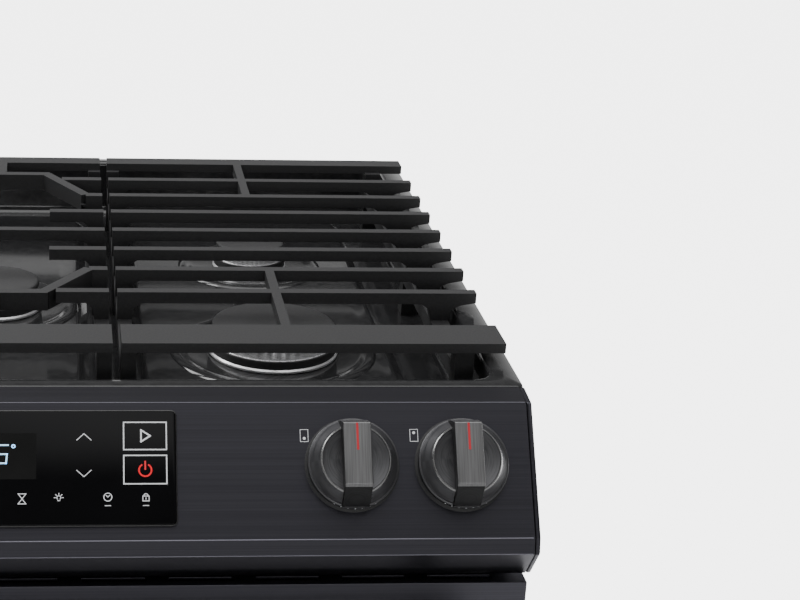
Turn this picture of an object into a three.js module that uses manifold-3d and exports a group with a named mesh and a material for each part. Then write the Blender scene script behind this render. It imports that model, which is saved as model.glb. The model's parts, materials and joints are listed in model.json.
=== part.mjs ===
// A freestanding 30-inch gas range with front controls, five burners and three cast grates.
// Millimetres, +Z up. The origin is on the floor, under the middle of the range.
// +Y points to the back wall, so the door and the knobs face -Y.
import * as THREE from 'three';
import { mergeVertices } from 'three/addons/utils/BufferGeometryUtils.js';
import Module from 'manifold-3d';

const wasm = await Module();
wasm.setup();

// ---- Driving dimensions ----

const GAP = 0.3;              // clearance left between two pieces that touch
const FLAT = 0.01;            // faces this close to one plane are merged
const ARC_STEPS = 4;          // straight pieces in each round corner
const SHEET = 2;              // thickness of every sheet-metal piece
const HALF_WIDTH = 380;       // cooktop and control panel
const HALF_BODY = 376;        // side panels, door and drawer
const BACK = 366;             // rear face of the vent trim
const RIM_TOP = 914.4;        // top of the cooktop rim, 36 inches
const GRATE_TOP = 928.4;

const COOKTOP = {
  front: -237.3, back: 332, skirtBottom: 890,
  recessHalf: 360, recessFront: -222.8, recessBack: 318, floor: 864, corner: 16,
  throatHole: 22, plateau: 868, plateauFront: -188, plateauBack: 292, plateauCorner: 24,
};
const PLATEAUS = [[-312, -120], [-68, 68], [120, 312]];   // raised stampings, as X ranges
const LOCATOR = { x: [88, 101], back: -196, top: 884 };   // posts that keep the grates in line
const VENT_TRIM = { gap: 0.5, top: 904, slots: 8, pitch: 84, slotHalf: 30, slotY: [12, 20] };

const BURNERS = [
  { name: 'front_right', x: 222, y: -54, cap: 49 },
  { name: 'front_left', x: -222, y: -54, cap: 43 },
  { name: 'rear_right', x: 222, y: 150, cap: 30 },
  { name: 'rear_left', x: -222, y: 150, cap: 36 },
  { name: 'centre', x: 0, y: 45, cap: 36 },
];
const CAP_TOP = 891.5;
const CAP_BOTTOM = 886.3;

const GRATE = {
  front: -191.7, back: 285, frontBar: 38, backBar: 19.1, barDepth: 7.4,
  finger: 9, fingerDepth: 9, tipDepth: 8, lengthwiseX: 219, lengthwiseHalf: 3.6,
  sideInner: 97, sideOuter: 376, centreHalf: 90.6, rail: 11, outerRail: [341, 355],
  railTop: 906, railBottom: 893,
  fingersY: [-80.8, -29.6, 19.7, 69.5, 119.9, 167.6, 216.2],
  frontLegY: -176, middleLegY: 45, backLegY: 268, legLength: 16,
};

const CENTRE_RING = {
  corner: 76, cornersY: [-29.6, 167.6], endHalf: 41, endsY: [-83, 231], depth: 14.4,
  fingerReach: [50, 76, 44.5, -1, 44.5, 76, 55], spineHalf: 4.5,
};

const FACE_TILT = 37;         // slanted control face, degrees from vertical
const FACE_TOP = [-260.5, 912];
const FACE_LENGTH = 95;
const FACE_CENTRE = 44;       // knob centres, down the slope from the top edge
const PANEL_OUTLINE = {
  cooktopEdge: [-237.6, 914], stripBottom: [-320, 825], lowerBevel: [-300, 800],
  lipBack: [-270, 800],
};
const END_CAP = { inner: 376.3, backTop: [-239, 886], backBottom: [-264, 800] };

const KNOB_X = [-328, -252, -176, 252, 328];
const KNOB_NAMES = ['far_left', 'left', 'inner_left', 'right', 'far_right'];
const KNOB = {
  lift: 3.4, skirt: 31.2, band: 4.5, plateau: 23.4, plateauHeight: 20,
  grip: 19, gripHeight: 29, gripEnd: 30.4, bore: 4.6, boreDepth: 14,
};
const STEM = { radius: 4, back: -30, front: 15 };
const VALVE = { half: 12, front: -16, back: -46, bore: 4.8, boreBack: -36 };
const MANIFOLD = { depth: 50, radius: 9, halfLength: 350, inletX: 340, inletBore: 5 };

const GLASS = { left: -118, right: 131.4, top: 37.5, height: 78, thick: 1.5, radius: 3 };
const BOARD = { inset: 8, depth: 16 };

const SIDE = { front: -262, back: 364, bottom: 30, top: 885 };
const BASE = { z: 40, front: -255, railX: [352, 366], railTop: 98, railFront: -250, railBack: 340 };
const FOOT = { x: 335, front: -225, back: 325, pad: 20, padHeight: 10, stem: 5, top: 60 };

const CAVITY = { half: 302, front: -260, back: 232, bottom: 292, top: 732, corner: 22 };
const FLANGE = { half: 373.5, bottom: 214, top: 796 };
const RACK_Z = [388, 540];
const RACK = { half: 298, front: -235, back: 172, wire: 5, cross: 11, ledge: 9, ledgeThick: 4 };
const FAN = {
  z: 512, radius: 74, blades: 8, bladeRoot: 20, bladeThick: 1.6, bladeTwist: 0.25,
  front: 206, back: 226, hub: 14, shaft: 5, shaftLength: 34,
};
const FAN_COVER = { half: 104, front: 190, corner: 30, slots: 7, pitch: 20, slotHalf: 60 };
const FAN_MOTOR = { radius: 38, gap: 8, length: 60, bore: 6, boreLength: 35 };
const LAMP = { x: 232, z: 660, lens: 24, lensDepth: 16, neck: 17, neckLength: 30 };
const BAKE = { half: 95, front: -170, back: 210, z: 262, radius: 9 };
const BROIL = { half: 110, front: -170, back: CAVITY.back - 0.5, z: 706, radius: 8 };

const DOOR = {
  front: -308, tray: -290, bottom: 222, top: 797,
  window: [270, 330, 690], glass: [288, 312, 708],
  innerHalf: 370, innerBottom: 250, innerTop: 790, innerBack: -266,
  innerWindow: [228, 372, 648], innerGlass: [244, 356, 664],
};
const PIVOT = { y: -290, z: 240, pin: 2.8, hole: 3.2 };
const HINGE = {
  bracketX: [318, 324], bracketHalf: 6, footX: [300, 340], footZ: [-14, 9],
  armX: [327, 330], armFront: 12, armBack: 6, armHalf: 8, armRise: 60, slotX: [312, 336],
};
const GASKET = { outer: [332, 264, 760], outerCorner: 34, inner: [320, 276, 748], innerCorner: 24 };
const VENT_PITCH = 60;
const VENT_COUNT = 12;
const VENT = { length: 44, width: 5, y: -299 };
const HANDLE = { half: 340, front: -366, depth: 22, z: 755, height: 26, postX: 311, postHalf: 11 };

const DRAWER = {
  front: -308, back: -288.3, bottom: 60, top: 208,
  boxHalf: 348, boxBack: 300, boxBottom: 66, boxTop: 190, flangeHalf: 362,
};

// ---- Materials ----

function finish(color, roughness, metalness) {
  return new THREE.MeshStandardMaterial({ color, roughness, metalness });
}

const blackStainless = finish(0x3a3a41, 0.38, 0.85);
const enamel = finish(0x1d1e21, 0.15, 0.1);
const castIron = finish(0x2b2b2d, 0.7, 0.3);
const aluminium = finish(0xb4b5b7, 0.3, 0.95);
const capEnamel = finish(0x313234, 0.45, 0.1);
const glassBlack = finish(0x07080a, 0.05, 0.0);
const knobMetal = finish(0x55565a, 0.35, 0.9);
const steel = finish(0x9b9ea2, 0.35, 0.9);
const galvanised = finish(0x85898c, 0.5, 0.8);
const cavityEnamel = finish(0x25272d, 0.3, 0.05);
const darkPlastic = finish(0x18191b, 0.5, 0.0);
const gasketFibre = finish(0x6c6b66, 0.9, 0.0);

// ---- Solids ----

// Turns a closed three.js geometry into a manifold solid.
function toSolid(geometry) {
  const plain = geometry.clone();
  plain.deleteAttribute('normal');
  plain.deleteAttribute('uv');
  const merged = mergeVertices(plain, 1e-4);
  return new wasm.Manifold(new wasm.Mesh({
    numProp: 3,
    vertProperties: new Float32Array(merged.attributes.position.array),
    triVerts: new Uint32Array(merged.index.array),
  }));
}

function toGeometry(solid) {
  const mesh = solid.getMesh();
  const geometry = new THREE.BufferGeometry();
  geometry.setAttribute('position', new THREE.BufferAttribute(mesh.vertProperties, 3));
  geometry.setIndex(new THREE.BufferAttribute(mesh.triVerts, 1));
  geometry.computeVertexNormals();
  return geometry;
}

// Joins solids into one, and merges the flat faces that they share.
function joined(solids) {
  const whole = solids.reduce((sum, solid) => sum.add(solid));
  return whole.asOriginal().simplify(FLAT);
}

function without(solid, cuts) {
  const rest = cuts.reduce((left, cut) => left.subtract(cut), solid);
  return rest.asOriginal().simplify(FLAT);
}

// A box from its low and high corners.
function box(x0, x1, y0, y1, z0, z1) {
  const geometry = new THREE.BoxGeometry(x1 - x0, y1 - y0, z1 - z0);
  geometry.translate((x0 + x1) / 2, (y0 + y1) / 2, (z0 + z1) / 2);
  return toSolid(geometry);
}

// An outline in the YZ plane, given as [y, z] points, swept from x0 to x1.
function sweptAlongX(points, x0, x1) {
  const shape = new THREE.Shape(points.map(([y, z]) => new THREE.Vector2(y, z)));
  const geometry = new THREE.ExtrudeGeometry(shape, { depth: x1 - x0, bevelEnabled: false });
  const alongX = new THREE.Matrix4().makeBasis(
    new THREE.Vector3(0, 1, 0), new THREE.Vector3(0, 0, 1), new THREE.Vector3(1, 0, 0));
  geometry.applyMatrix4(alongX);
  geometry.translate(x0, 0, 0);
  return toSolid(geometry);
}

// An outline in the XZ plane, given as [x, z] points, swept from y0 to y1.
function sweptAlongY(points, y0, y1) {
  const shape = new THREE.Shape(points.map(([x, z]) => new THREE.Vector2(x, z)));
  const geometry = new THREE.ExtrudeGeometry(shape, { depth: y1 - y0, bevelEnabled: false });
  geometry.rotateX(Math.PI / 2);
  geometry.translate(0, y1, 0);
  return toSolid(geometry);
}

// A rectangle with round corners, centred on its own origin.
function roundedRectangle(halfX, halfY, radius) {
  const shape = new THREE.Shape();
  const corners = [[1, 1, 0], [-1, 1, 90], [-1, -1, 180], [1, -1, 270]];
  for (const [sx, sy, start] of corners) {
    const from = THREE.MathUtils.degToRad(start);
    const x = sx * (halfX - radius);
    const y = sy * (halfY - radius);
    shape.absarc(x, y, radius, from, from + Math.PI / 2, false);
  }
  return shape.extractPoints(ARC_STEPS).shape;
}

// A rounded rectangle in plan, from z0 to z1.
function roundedBlock(x0, x1, y0, y1, z0, z1, radius) {
  const outline = roundedRectangle((x1 - x0) / 2, (y1 - y0) / 2, radius);
  const geometry = new THREE.ExtrudeGeometry(
    new THREE.Shape(outline), { depth: z1 - z0, bevelEnabled: false });
  geometry.translate((x0 + x1) / 2, (y0 + y1) / 2, z0);
  return toSolid(geometry);
}

// A rounded rectangle seen from the front, from y0 to y1.
function uprightBlock(half, z0, z1, y0, y1, radius) {
  const outline = roundedRectangle(half, (z1 - z0) / 2, radius);
  const geometry = new THREE.ExtrudeGeometry(
    new THREE.Shape(outline), { depth: y1 - y0, bevelEnabled: false });
  geometry.rotateX(Math.PI / 2);
  geometry.translate(0, y1, (z0 + z1) / 2);
  return toSolid(geometry);
}

function cylinderZ(x, y, radius, z0, z1, sides = 20) {
  const geometry = new THREE.CylinderGeometry(radius, radius, z1 - z0, sides);
  geometry.rotateX(Math.PI / 2);
  geometry.translate(x, y, (z0 + z1) / 2);
  return toSolid(geometry);
}

function cylinderY(x, z, radius, y0, y1, sides = 20) {
  const geometry = new THREE.CylinderGeometry(radius, radius, y1 - y0, sides);
  geometry.translate(x, (y0 + y1) / 2, z);
  return toSolid(geometry);
}

function cylinderX(y, z, radius, x0, x1, sides = 16) {
  const geometry = new THREE.CylinderGeometry(radius, radius, x1 - x0, sides);
  geometry.rotateZ(Math.PI / 2);
  geometry.translate((x0 + x1) / 2, y, z);
  return toSolid(geometry);
}

// A solid of revolution about Z. The [radius, z] profile starts and ends on the axis.
function turned(profile, sides = 24) {
  const geometry = new THREE.LatheGeometry(
    profile.map(([r, z]) => new THREE.Vector2(r, z)), sides);
  geometry.rotateX(Math.PI / 2);
  return toSolid(geometry);
}

// A bent sheet: the outer [y, z] points and the same line moved inwards by the thickness.
function bentSheet(outer, thickness) {
  const inner = outer.map((point, i) => {
    const before = outer[Math.max(i - 1, 0)];
    const after = outer[Math.min(i + 1, outer.length - 1)];
    const into = i === 0 ? unit(point, after) : unit(before, point);
    const out = i === outer.length - 1 ? into : unit(point, after);
    const normal = [-(into[1] + out[1]), into[0] + out[0]];
    const scale = 2 * thickness / (normal[0] ** 2 + normal[1] ** 2);
    return [point[0] + normal[0] * scale, point[1] + normal[1] * scale];
  });
  return [...outer, ...inner.reverse()];
}

function unit(from, to) {
  const length = Math.hypot(to[0] - from[0], to[1] - from[1]);
  return [(to[0] - from[0]) / length, (to[1] - from[1]) / length];
}

// A round tube that follows a U in plan, open end towards +Y.
function uTube({ half, front, back, z, radius }) {
  const bend = front + half;
  const pull = front - half / 3;
  const path = new THREE.CurvePath();
  const at = (x, y) => new THREE.Vector3(x, y, z);
  path.add(new THREE.LineCurve3(at(-half, back), at(-half, bend)));
  path.add(new THREE.CubicBezierCurve3(
    at(-half, bend), at(-half, pull), at(half, pull), at(half, bend)));
  path.add(new THREE.LineCurve3(at(half, bend), at(half, back)));
  const section = new THREE.Shape().absarc(0, 0, radius, 0, 2 * Math.PI);
  const geometry = new THREE.ExtrudeGeometry(
    section, { extrudePath: path, steps: 18, curveSegments: 4, bevelEnabled: false });
  return toSolid(geometry);
}

const range = new THREE.Group();

function place(name, solid, material, parent = range) {
  const mesh = new THREE.Mesh(toGeometry(solid), material);
  mesh.name = name;
  parent.add(mesh);
  return mesh;
}

function sideOf(sign) {
  return sign < 0 ? 'left' : 'right';
}

// Orders a low and a high X that may have been mirrored.
function mirrored(sign, x0, x1) {
  return sign > 0 ? [x0, x1] : [-x1, -x0];
}

// ---- Casing ----

function makeSidePanels() {
  for (const sign of [-1, 1]) {
    const [x0, x1] = mirrored(sign, HALF_BODY - SHEET, HALF_BODY);
    const panel = box(x0, x1, SIDE.front, SIDE.back, SIDE.bottom, SIDE.top);
    place(`side_panel_${sideOf(sign)}`, panel, blackStainless);
  }
}

function makeBackPanel() {
  const half = HALF_BODY - SHEET - GAP;
  const inletY = faceDepth(MANIFOLD.depth);
  const panel = without(
    box(-half, half, SIDE.back - SHEET, SIDE.back, BASE.z, SIDE.top),
    [cylinderY(MANIFOLD.inletX, inletY.z, MANIFOLD.radius + 3, SIDE.back - 5, SIDE.back + 5, 16)]);
  place('back_panel', panel, galvanised);
}

function makeBasePan() {
  const half = HALF_BODY - SHEET - GAP;
  const floor = box(-half, half, BASE.front, SIDE.back - SHEET - GAP, BASE.z, BASE.z + SHEET);
  const rails = [-1, 1].flatMap((sign) => {
    const [ledge0, ledge1] = mirrored(sign, BASE.railX[0], BASE.railX[1]);
    const [wall0, wall1] = mirrored(sign, BASE.railX[1] - SHEET, BASE.railX[1]);
    return [
      box(wall0, wall1, BASE.railFront, BASE.railBack, BASE.z + 1, BASE.railTop),
      box(ledge0, ledge1, BASE.railFront, BASE.railBack, BASE.railTop - SHEET, BASE.railTop),
    ];
  });
  const footHoles = footPlaces().map(
    ([x, y]) => cylinderZ(x, y, FOOT.stem + 1, BASE.z - 1, BASE.z + SHEET + 1, 12));
  place('base_pan', without(joined([floor, ...rails]), footHoles), galvanised);
}

function footPlaces() {
  return [-FOOT.x, FOOT.x].flatMap((x) => [[x, FOOT.front], [x, FOOT.back]]);
}

function makeFeet() {
  for (const [x, y] of footPlaces()) {
    const foot = joined([
      cylinderZ(0, 0, FOOT.pad, 0, FOOT.padHeight, 20),
      cylinderZ(0, 0, FOOT.stem, FOOT.padHeight - 1, FOOT.top, 12),
    ]);
    const end = y < 0 ? 'front' : 'rear';
    const mesh = place(`levelling_foot_${end}_${sideOf(x)}`, foot, darkPlastic);
    mesh.position.set(x, y, 0);
  }
}

function makeVentTrim() {
  const { top, slotHalf, slotY } = VENT_TRIM;
  const front = COOKTOP.back + VENT_TRIM.gap;
  const shell = without(
    box(-HALF_BODY, HALF_BODY, front, BACK, SIDE.top + GAP, top),
    [box(-HALF_BODY + SHEET, HALF_BODY - SHEET, front + SHEET, BACK - SHEET, 0, top - SHEET)]);
  const slots = Array.from({ length: VENT_TRIM.slots }, (_, i) => {
    const x = (i - (VENT_TRIM.slots - 1) / 2) * VENT_TRIM.pitch;
    return box(
      x - slotHalf, x + slotHalf, front + slotY[0], front + slotY[1], top - 5, top + 5);
  });
  place('rear_vent_trim', without(shell, slots), blackStainless);
}

// ---- Cooktop, grates and burners ----

// The raised stampings that the burners stand on, and the hollow under each.
function plateauBlocks(inset, z0, z1) {
  const c = COOKTOP;
  return PLATEAUS.map(([x0, x1]) => roundedBlock(
    x0 + inset, x1 - inset, c.plateauFront + inset, c.plateauBack - inset, z0, z1,
    c.plateauCorner - inset));
}

function makeCooktop() {
  const c = COOKTOP;
  const under = c.floor - SHEET;
  const block = box(-HALF_WIDTH, HALF_WIDTH, c.front, c.back, under, RIM_TOP);
  const recess = roundedBlock(
    -c.recessHalf, c.recessHalf, c.recessFront, c.recessBack, c.floor, RIM_TOP + 5, c.corner);
  const wall = roundedBlock(
    -c.recessHalf - SHEET, c.recessHalf + SHEET, c.recessFront - SHEET, c.recessBack + SHEET,
    under - 5, RIM_TOP + 5, c.corner + SHEET);
  const underRim = box(
    -HALF_WIDTH + SHEET, HALF_WIDTH - SHEET, c.front + SHEET, c.back - SHEET,
    under - 5, RIM_TOP - SHEET).subtract(wall);
  const belowSkirt = box(
    -HALF_WIDTH - 5, HALF_WIDTH + 5, c.front - 5, c.back + 5, under - 5, c.skirtBottom)
    .subtract(wall);
  const throats = BURNERS.map(
    ({ x, y }) => cylinderZ(x, y, c.throatHole, under - 5, c.plateau + 5));
  const locators = [-1, 1].map((sign) => {
    const [x0, x1] = mirrored(sign, LOCATOR.x[0], LOCATOR.x[1]);
    return box(x0, x1, c.recessFront - 1, LOCATOR.back, c.floor - 1, LOCATOR.top);
  });
  const pan = without(block, [recess, underRim, belowSkirt]);
  const raised = joined([pan, ...plateauBlocks(0, c.floor - 1, c.plateau), ...locators]);
  const hollows = plateauBlocks(SHEET, under - 5, c.plateau - SHEET);
  place('cooktop', without(raised, [...hollows, ...throats]), enamel);
}

// Legs under one rail: the front and back ones also carry the bars.
function grateLegs([x0, x1]) {
  const g = GRATE;
  const barBottom = GRATE_TOP - g.barDepth;
  const legs = [
    [g.frontLegY, barBottom + 1], [g.middleLegY, g.railTop - 1], [g.backLegY, barBottom + 1],
  ];
  return legs.map(([y, top]) => box(
    x0, x1, y - g.legLength / 2, y + g.legLength / 2, COOKTOP.floor + GAP, top));
}

// The haunch that drops from a finger to a rail, as [x, z] points. Its inner side flares.
function haunch(railInside, railOutside) {
  const side = Math.sign(railOutside - railInside);
  const fingerBottom = GRATE_TOP - GRATE.fingerDepth;
  return [
    [railOutside, fingerBottom + 1], [railOutside, GRATE.railTop - 1],
    [railInside, GRATE.railTop - 1], [railInside - 2 * side, fingerBottom - 4],
    [railInside - 8 * side, fingerBottom + 1],
  ];
}

// One finger of a side grate: it overhangs the cooktop rim, and its underside is arched.
function sideFinger(sign, y) {
  const g = GRATE;
  const low = GRATE_TOP - g.fingerDepth;
  const [railIn, railOut] = g.outerRail;
  const outline = [
    [g.sideInner, GRATE_TOP], [g.sideOuter, GRATE_TOP], [g.sideOuter, GRATE_TOP - g.tipDepth],
    [railOut + 9, low - 1], [railOut + 3, low - 4], [railOut, g.railTop - 1],
    [railIn, g.railTop - 1], [railIn - 2, low - 4], [railIn - 8, low],
    [g.sideInner + g.rail + 8, low], [g.sideInner + g.rail + 2, low - 4],
    [g.sideInner + g.rail, g.railTop - 1], [g.sideInner, g.railTop - 1],
  ];
  return sweptAlongY(outline.map(([x, z]) => [sign * x, z]), y - g.finger / 2, y + g.finger / 2);
}

function makeSideGrate(sign) {
  const g = GRATE;
  const under = GRATE_TOP - g.barDepth;
  const innerRail = mirrored(sign, g.sideInner, g.sideInner + g.rail);
  const outerRail = mirrored(sign, g.outerRail[0], g.outerRail[1]);
  const [x0, x1] = mirrored(sign, g.sideInner, g.sideOuter);
  const overBurner = mirrored(
    sign, g.lengthwiseX - g.lengthwiseHalf, g.lengthwiseX + g.lengthwiseHalf);
  const lengthwise = [[g.front + 20, g.fingersY[1]], [g.fingersY[5], g.back - 10]].map(
    ([y0, y1]) => box(...overBurner, y0, y1, GRATE_TOP - g.fingerDepth, GRATE_TOP));
  const grate = joined([
    box(x0, x1, g.front, g.front + g.frontBar, under, GRATE_TOP),
    box(x0, x1, g.back - g.backBar, g.back, under, GRATE_TOP),
    ...[innerRail, outerRail].map(
      (rail) => box(...rail, g.front + 8, g.back - 8, g.railBottom, g.railTop)),
    ...g.fingersY.map((y) => sideFinger(sign, y)),
    ...lengthwise,
    ...grateLegs(innerRail),
    ...grateLegs(outerRail),
  ]);
  place(`grate_${sideOf(sign)}`, grate, castIron);
}

// A straight bar between two points in plan.
function bar(x0, y0, x1, y1, width, z0, z1) {
  const length = Math.hypot(x1 - x0, y1 - y0);
  const geometry = new THREE.BoxGeometry(length, width, z1 - z0);
  geometry.rotateZ(Math.atan2(y1 - y0, x1 - x0));
  geometry.translate((x0 + x1) / 2, (y0 + y1) / 2, (z0 + z1) / 2);
  return toSolid(geometry);
}

// A short finger from a rail of the centre grate towards the ring.
function centreFinger(sign, y, reach) {
  const g = GRATE;
  const low = GRATE_TOP - g.fingerDepth;
  const y0 = y - g.finger / 2;
  const y1 = y + g.finger / 2;
  const railIn = sign * (g.centreHalf - g.rail);
  const [x0, x1] = mirrored(sign, reach, g.centreHalf);
  return box(x0, x1, y0, y1, low, GRATE_TOP).add(
    sweptAlongY(haunch(railIn, sign * g.centreHalf), y0, y1));
}

function makeCentreGrate() {
  const g = GRATE;
  const under = GRATE_TOP - g.barDepth;
  const low = GRATE_TOP - g.fingerDepth;
  const ring = CENTRE_RING;
  const ringBottom = GRATE_TOP - ring.depth;
  const fingers = g.fingersY.flatMap(
    (y, i) => [-1, 1].map((sign) => centreFinger(sign, y, ring.fingerReach[i])));
  const diagonals = [-1, 1].flatMap((sign) => ring.endsY.map((endY, i) => bar(
    sign * ring.corner, ring.cornersY[i], sign * ring.endHalf, endY,
    g.finger, ringBottom, GRATE_TOP)));
  const ringBars = ring.endsY.map((y) => box(
    -ring.endHalf - 3, ring.endHalf + 3, y - g.finger / 2, y + g.finger / 2,
    ringBottom, GRATE_TOP));
  const rails = [-1, 1].map((sign) => mirrored(sign, g.centreHalf - g.rail, g.centreHalf));
  const grate = joined([
    box(-g.centreHalf, g.centreHalf, g.front, g.front + g.frontBar, under, GRATE_TOP),
    box(-g.centreHalf, g.centreHalf, g.back - g.backBar, g.back, under, GRATE_TOP),
    ...rails.map((rail) => box(...rail, g.front + 8, g.back - 8, g.railBottom, g.railTop)),
    box(-ring.spineHalf, ring.spineHalf, g.front + 20, ring.endsY[0], low, GRATE_TOP),
    box(-ring.spineHalf, ring.spineHalf, ring.endsY[1], g.back - 5, low, GRATE_TOP),
    ...fingers,
    ...diagonals,
    ...ringBars,
    ...rails.flatMap((rail) => grateLegs(rail)),
  ]);
  place('grate_centre', grate, castIron);
}

function makeBurners() {
  const seat = COOKTOP.plateau + GAP;
  for (const { name, x, y, cap } of BURNERS) {
    const head = turned([
      [0, seat - 16], [19, seat - 16], [19, seat], [cap, seat], [cap, seat + 8],
      [cap - 3, seat + 9.5], [cap - 3, seat + 12], [cap - 1, seat + 13],
      [cap - 2, CAP_BOTTOM - GAP], [0, CAP_BOTTOM - GAP],
    ]);
    place(`burner_head_${name}`, head, aluminium).position.set(x, y, 0);
    const lid = turned([
      [0, CAP_BOTTOM], [cap - 1, CAP_BOTTOM], [cap, CAP_BOTTOM + 1.5],
      [cap - 1.5, CAP_TOP - 0.8], [cap - 5, CAP_TOP], [0, CAP_TOP],
    ]);
    place(`burner_cap_${name}`, lid, capEnamel).position.set(x, y, 0);
  }
}

// ---- Control panel ----

// A point behind the slanted face, level with the knob centres, in the YZ plane.
function faceDepth(depth) {
  const tilt = THREE.MathUtils.degToRad(FACE_TILT);
  return {
    y: FACE_TOP[0] - FACE_CENTRE * Math.sin(tilt) + depth * Math.cos(tilt),
    z: FACE_TOP[1] - FACE_CENTRE * Math.cos(tilt) - depth * Math.sin(tilt),
  };
}

// A group whose X runs along the range, Y up the slanted face and Z out of it.
function makeFaceGroup() {
  const face = new THREE.Group();
  const centre = faceDepth(0);
  face.position.set(0, centre.y, centre.z);
  face.rotation.x = THREE.MathUtils.degToRad(90 - FACE_TILT);
  face.updateMatrix();
  range.add(face);
  return face;
}

function panelLine() {
  const tilt = THREE.MathUtils.degToRad(FACE_TILT);
  const faceEnd = [
    FACE_TOP[0] - FACE_LENGTH * Math.sin(tilt), FACE_TOP[1] - FACE_LENGTH * Math.cos(tilt)];
  const p = PANEL_OUTLINE;
  return [p.cooktopEdge, FACE_TOP, faceEnd, p.stripBottom, p.lowerBevel];
}

function makeControlPanel(face) {
  const outer = [...panelLine(), PANEL_OUTLINE.lipBack];
  const shell = sweptAlongX(bentSheet(outer, SHEET), -HALF_BODY, HALF_BODY);
  const stemHoles = KNOB_X.map((x) => cylinderZ(x, 0, STEM.radius + 2, -20, 20, 12));
  const g = GLASS;
  const inset = BOARD.inset - 3;
  const window = box(
    g.left + inset, g.right - inset, g.top - g.height + inset, g.top - inset, -20, 20);
  const cuts = [...stemHoles, window].map(
    (cut) => toSolid(toGeometry(cut).applyMatrix4(face.matrix)));
  place('control_panel', without(shell, cuts), blackStainless);
}

function makeEndCaps() {
  const outline = [...panelLine(), END_CAP.backBottom, END_CAP.backTop];
  for (const sign of [-1, 1]) {
    const [x0, x1] = mirrored(sign, END_CAP.inner, HALF_WIDTH);
    place(`control_end_cap_${sideOf(sign)}`, sweptAlongX(outline, x0, x1), blackStainless);
  }
}

function makeTouchPanel(face) {
  const g = GLASS;
  const bottom = g.top - g.height;
  const glass = roundedBlock(g.left, g.right, bottom, g.top, GAP, GAP + g.thick, g.radius);
  place('touch_panel', glass, glassBlack, face);
  const b = BOARD.inset;
  const board = box(g.left + b, g.right - b, bottom + b, g.top - b, -BOARD.depth, -GAP);
  place('control_board', board, darkPlastic, face);
}

// Skirt, plateau and the grip bar across it, whose lower end slopes down to the skirt.
function knobSolid() {
  const k = KNOB;
  const skirt = turned([
    [0, k.lift], [k.skirt, k.lift], [k.skirt, k.lift + k.band],
    [k.plateau, k.plateauHeight], [0, k.plateauHeight],
  ], 32);
  const side = [
    [-k.gripEnd, k.lift + 6], [-k.plateau + 6, k.gripHeight], [k.plateau - 2, k.gripHeight],
    [k.gripEnd - 1, k.plateauHeight - 6], [k.gripEnd - 1, k.lift + 6],
  ];
  const grip = sweptAlongX(side, -k.grip / 2, k.grip / 2);
  const bore = cylinderZ(0, 0, k.bore, k.lift - 1, k.lift + k.boreDepth, 12);
  return joined([skirt, grip]).subtract(bore);
}

function makeKnobs(face) {
  const knob = knobSolid();
  const stem = cylinderZ(0, 0, STEM.radius, STEM.back, STEM.front, 12);
  KNOB_X.forEach((x, i) => {
    place(`knob_${KNOB_NAMES[i]}`, knob, knobMetal, face).position.x = x;
    place(`valve_stem_${KNOB_NAMES[i]}`, stem, steel, face).position.x = x;
  });
}

// The gas pipe behind the panel, one valve body for each knob and the inlet at the back.
function makeManifold(face) {
  const m = MANIFOLD;
  const pipe = faceDepth(m.depth);
  const valves = KNOB_X.map((x) => box(
    x - VALVE.half, x + VALVE.half, -VALVE.half, VALVE.half, VALVE.back, VALVE.front));
  const bores = KNOB_X.map(
    (x) => cylinderZ(x, 0, VALVE.bore, VALVE.boreBack, VALVE.front + 5, 12));
  const inFace = (solid) => toSolid(toGeometry(solid).applyMatrix4(face.matrix));
  const body = joined([
    cylinderX(pipe.y, pipe.z, m.radius, -m.halfLength, m.halfLength, 12),
    cylinderY(m.inletX, pipe.z, m.radius, pipe.y, BACK - 1, 12),
    ...valves.map(inFace),
  ]);
  const inlet = cylinderY(m.inletX, pipe.z, m.inletBore, BACK - 20, BACK + 5, 12);
  place('gas_manifold', without(body, [...bores.map(inFace), inlet]), steel);
}

// ---- Oven ----

function makeCavity() {
  const c = CAVITY;
  const outer = uprightBlock(
    c.half + SHEET, c.bottom - SHEET, c.top + SHEET, c.front, c.back + SHEET, c.corner + SHEET);
  const flange = box(
    -FLANGE.half, FLANGE.half, c.front - SHEET, c.front, FLANGE.bottom, FLANGE.top);
  const inside = uprightBlock(c.half, c.bottom, c.top, c.front - 5, c.back, c.corner);
  const ledges = [-1, 1].flatMap((sign) => RACK_Z.map((z) => {
    const [x0, x1] = mirrored(sign, c.half - RACK.ledge, c.half + 1);
    return box(x0, x1, RACK.front - 8, RACK.back + 8, z - RACK.ledgeThick, z);
  }));
  const holes = [
    cylinderY(0, FAN.z, 8, c.back - 5, c.back + 5, 16),
    cylinderY(LAMP.x, LAMP.z, LAMP.neck + 1, c.back - 5, c.back + 5),
  ];
  const liner = without(joined([outer, flange]), [inside]);
  place('oven_cavity', without(joined([liner, ...ledges]), holes), cavityEnamel);
}

function makeRack(z, name) {
  const r = RACK;
  const low = z + GAP;
  const high = low + r.wire;
  const frame = box(-r.half, r.half, r.front, r.back, low, high).subtract(
    box(-r.half + r.wire, r.half - r.wire, r.front + r.wire, r.back - r.wire, low - 1, high + 1));
  const wires = Array.from({ length: r.cross - 1 }, (_, i) => {
    const x = -r.half + (i + 1) * 2 * r.half / r.cross;
    return box(x - 2, x + 2, r.front + 1, r.back - 1, low + 0.5, high - 0.5);
  });
  const brace = box(-r.half + 1, r.half - 1, -34, -29, low, high);
  place(name, joined([frame, brace, ...wires]), steel);
}

function makeOvenBurners() {
  place('bake_burner', uTube(BAKE), steel);
  place('broil_burner', uTube(BROIL), steel);
}

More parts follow.
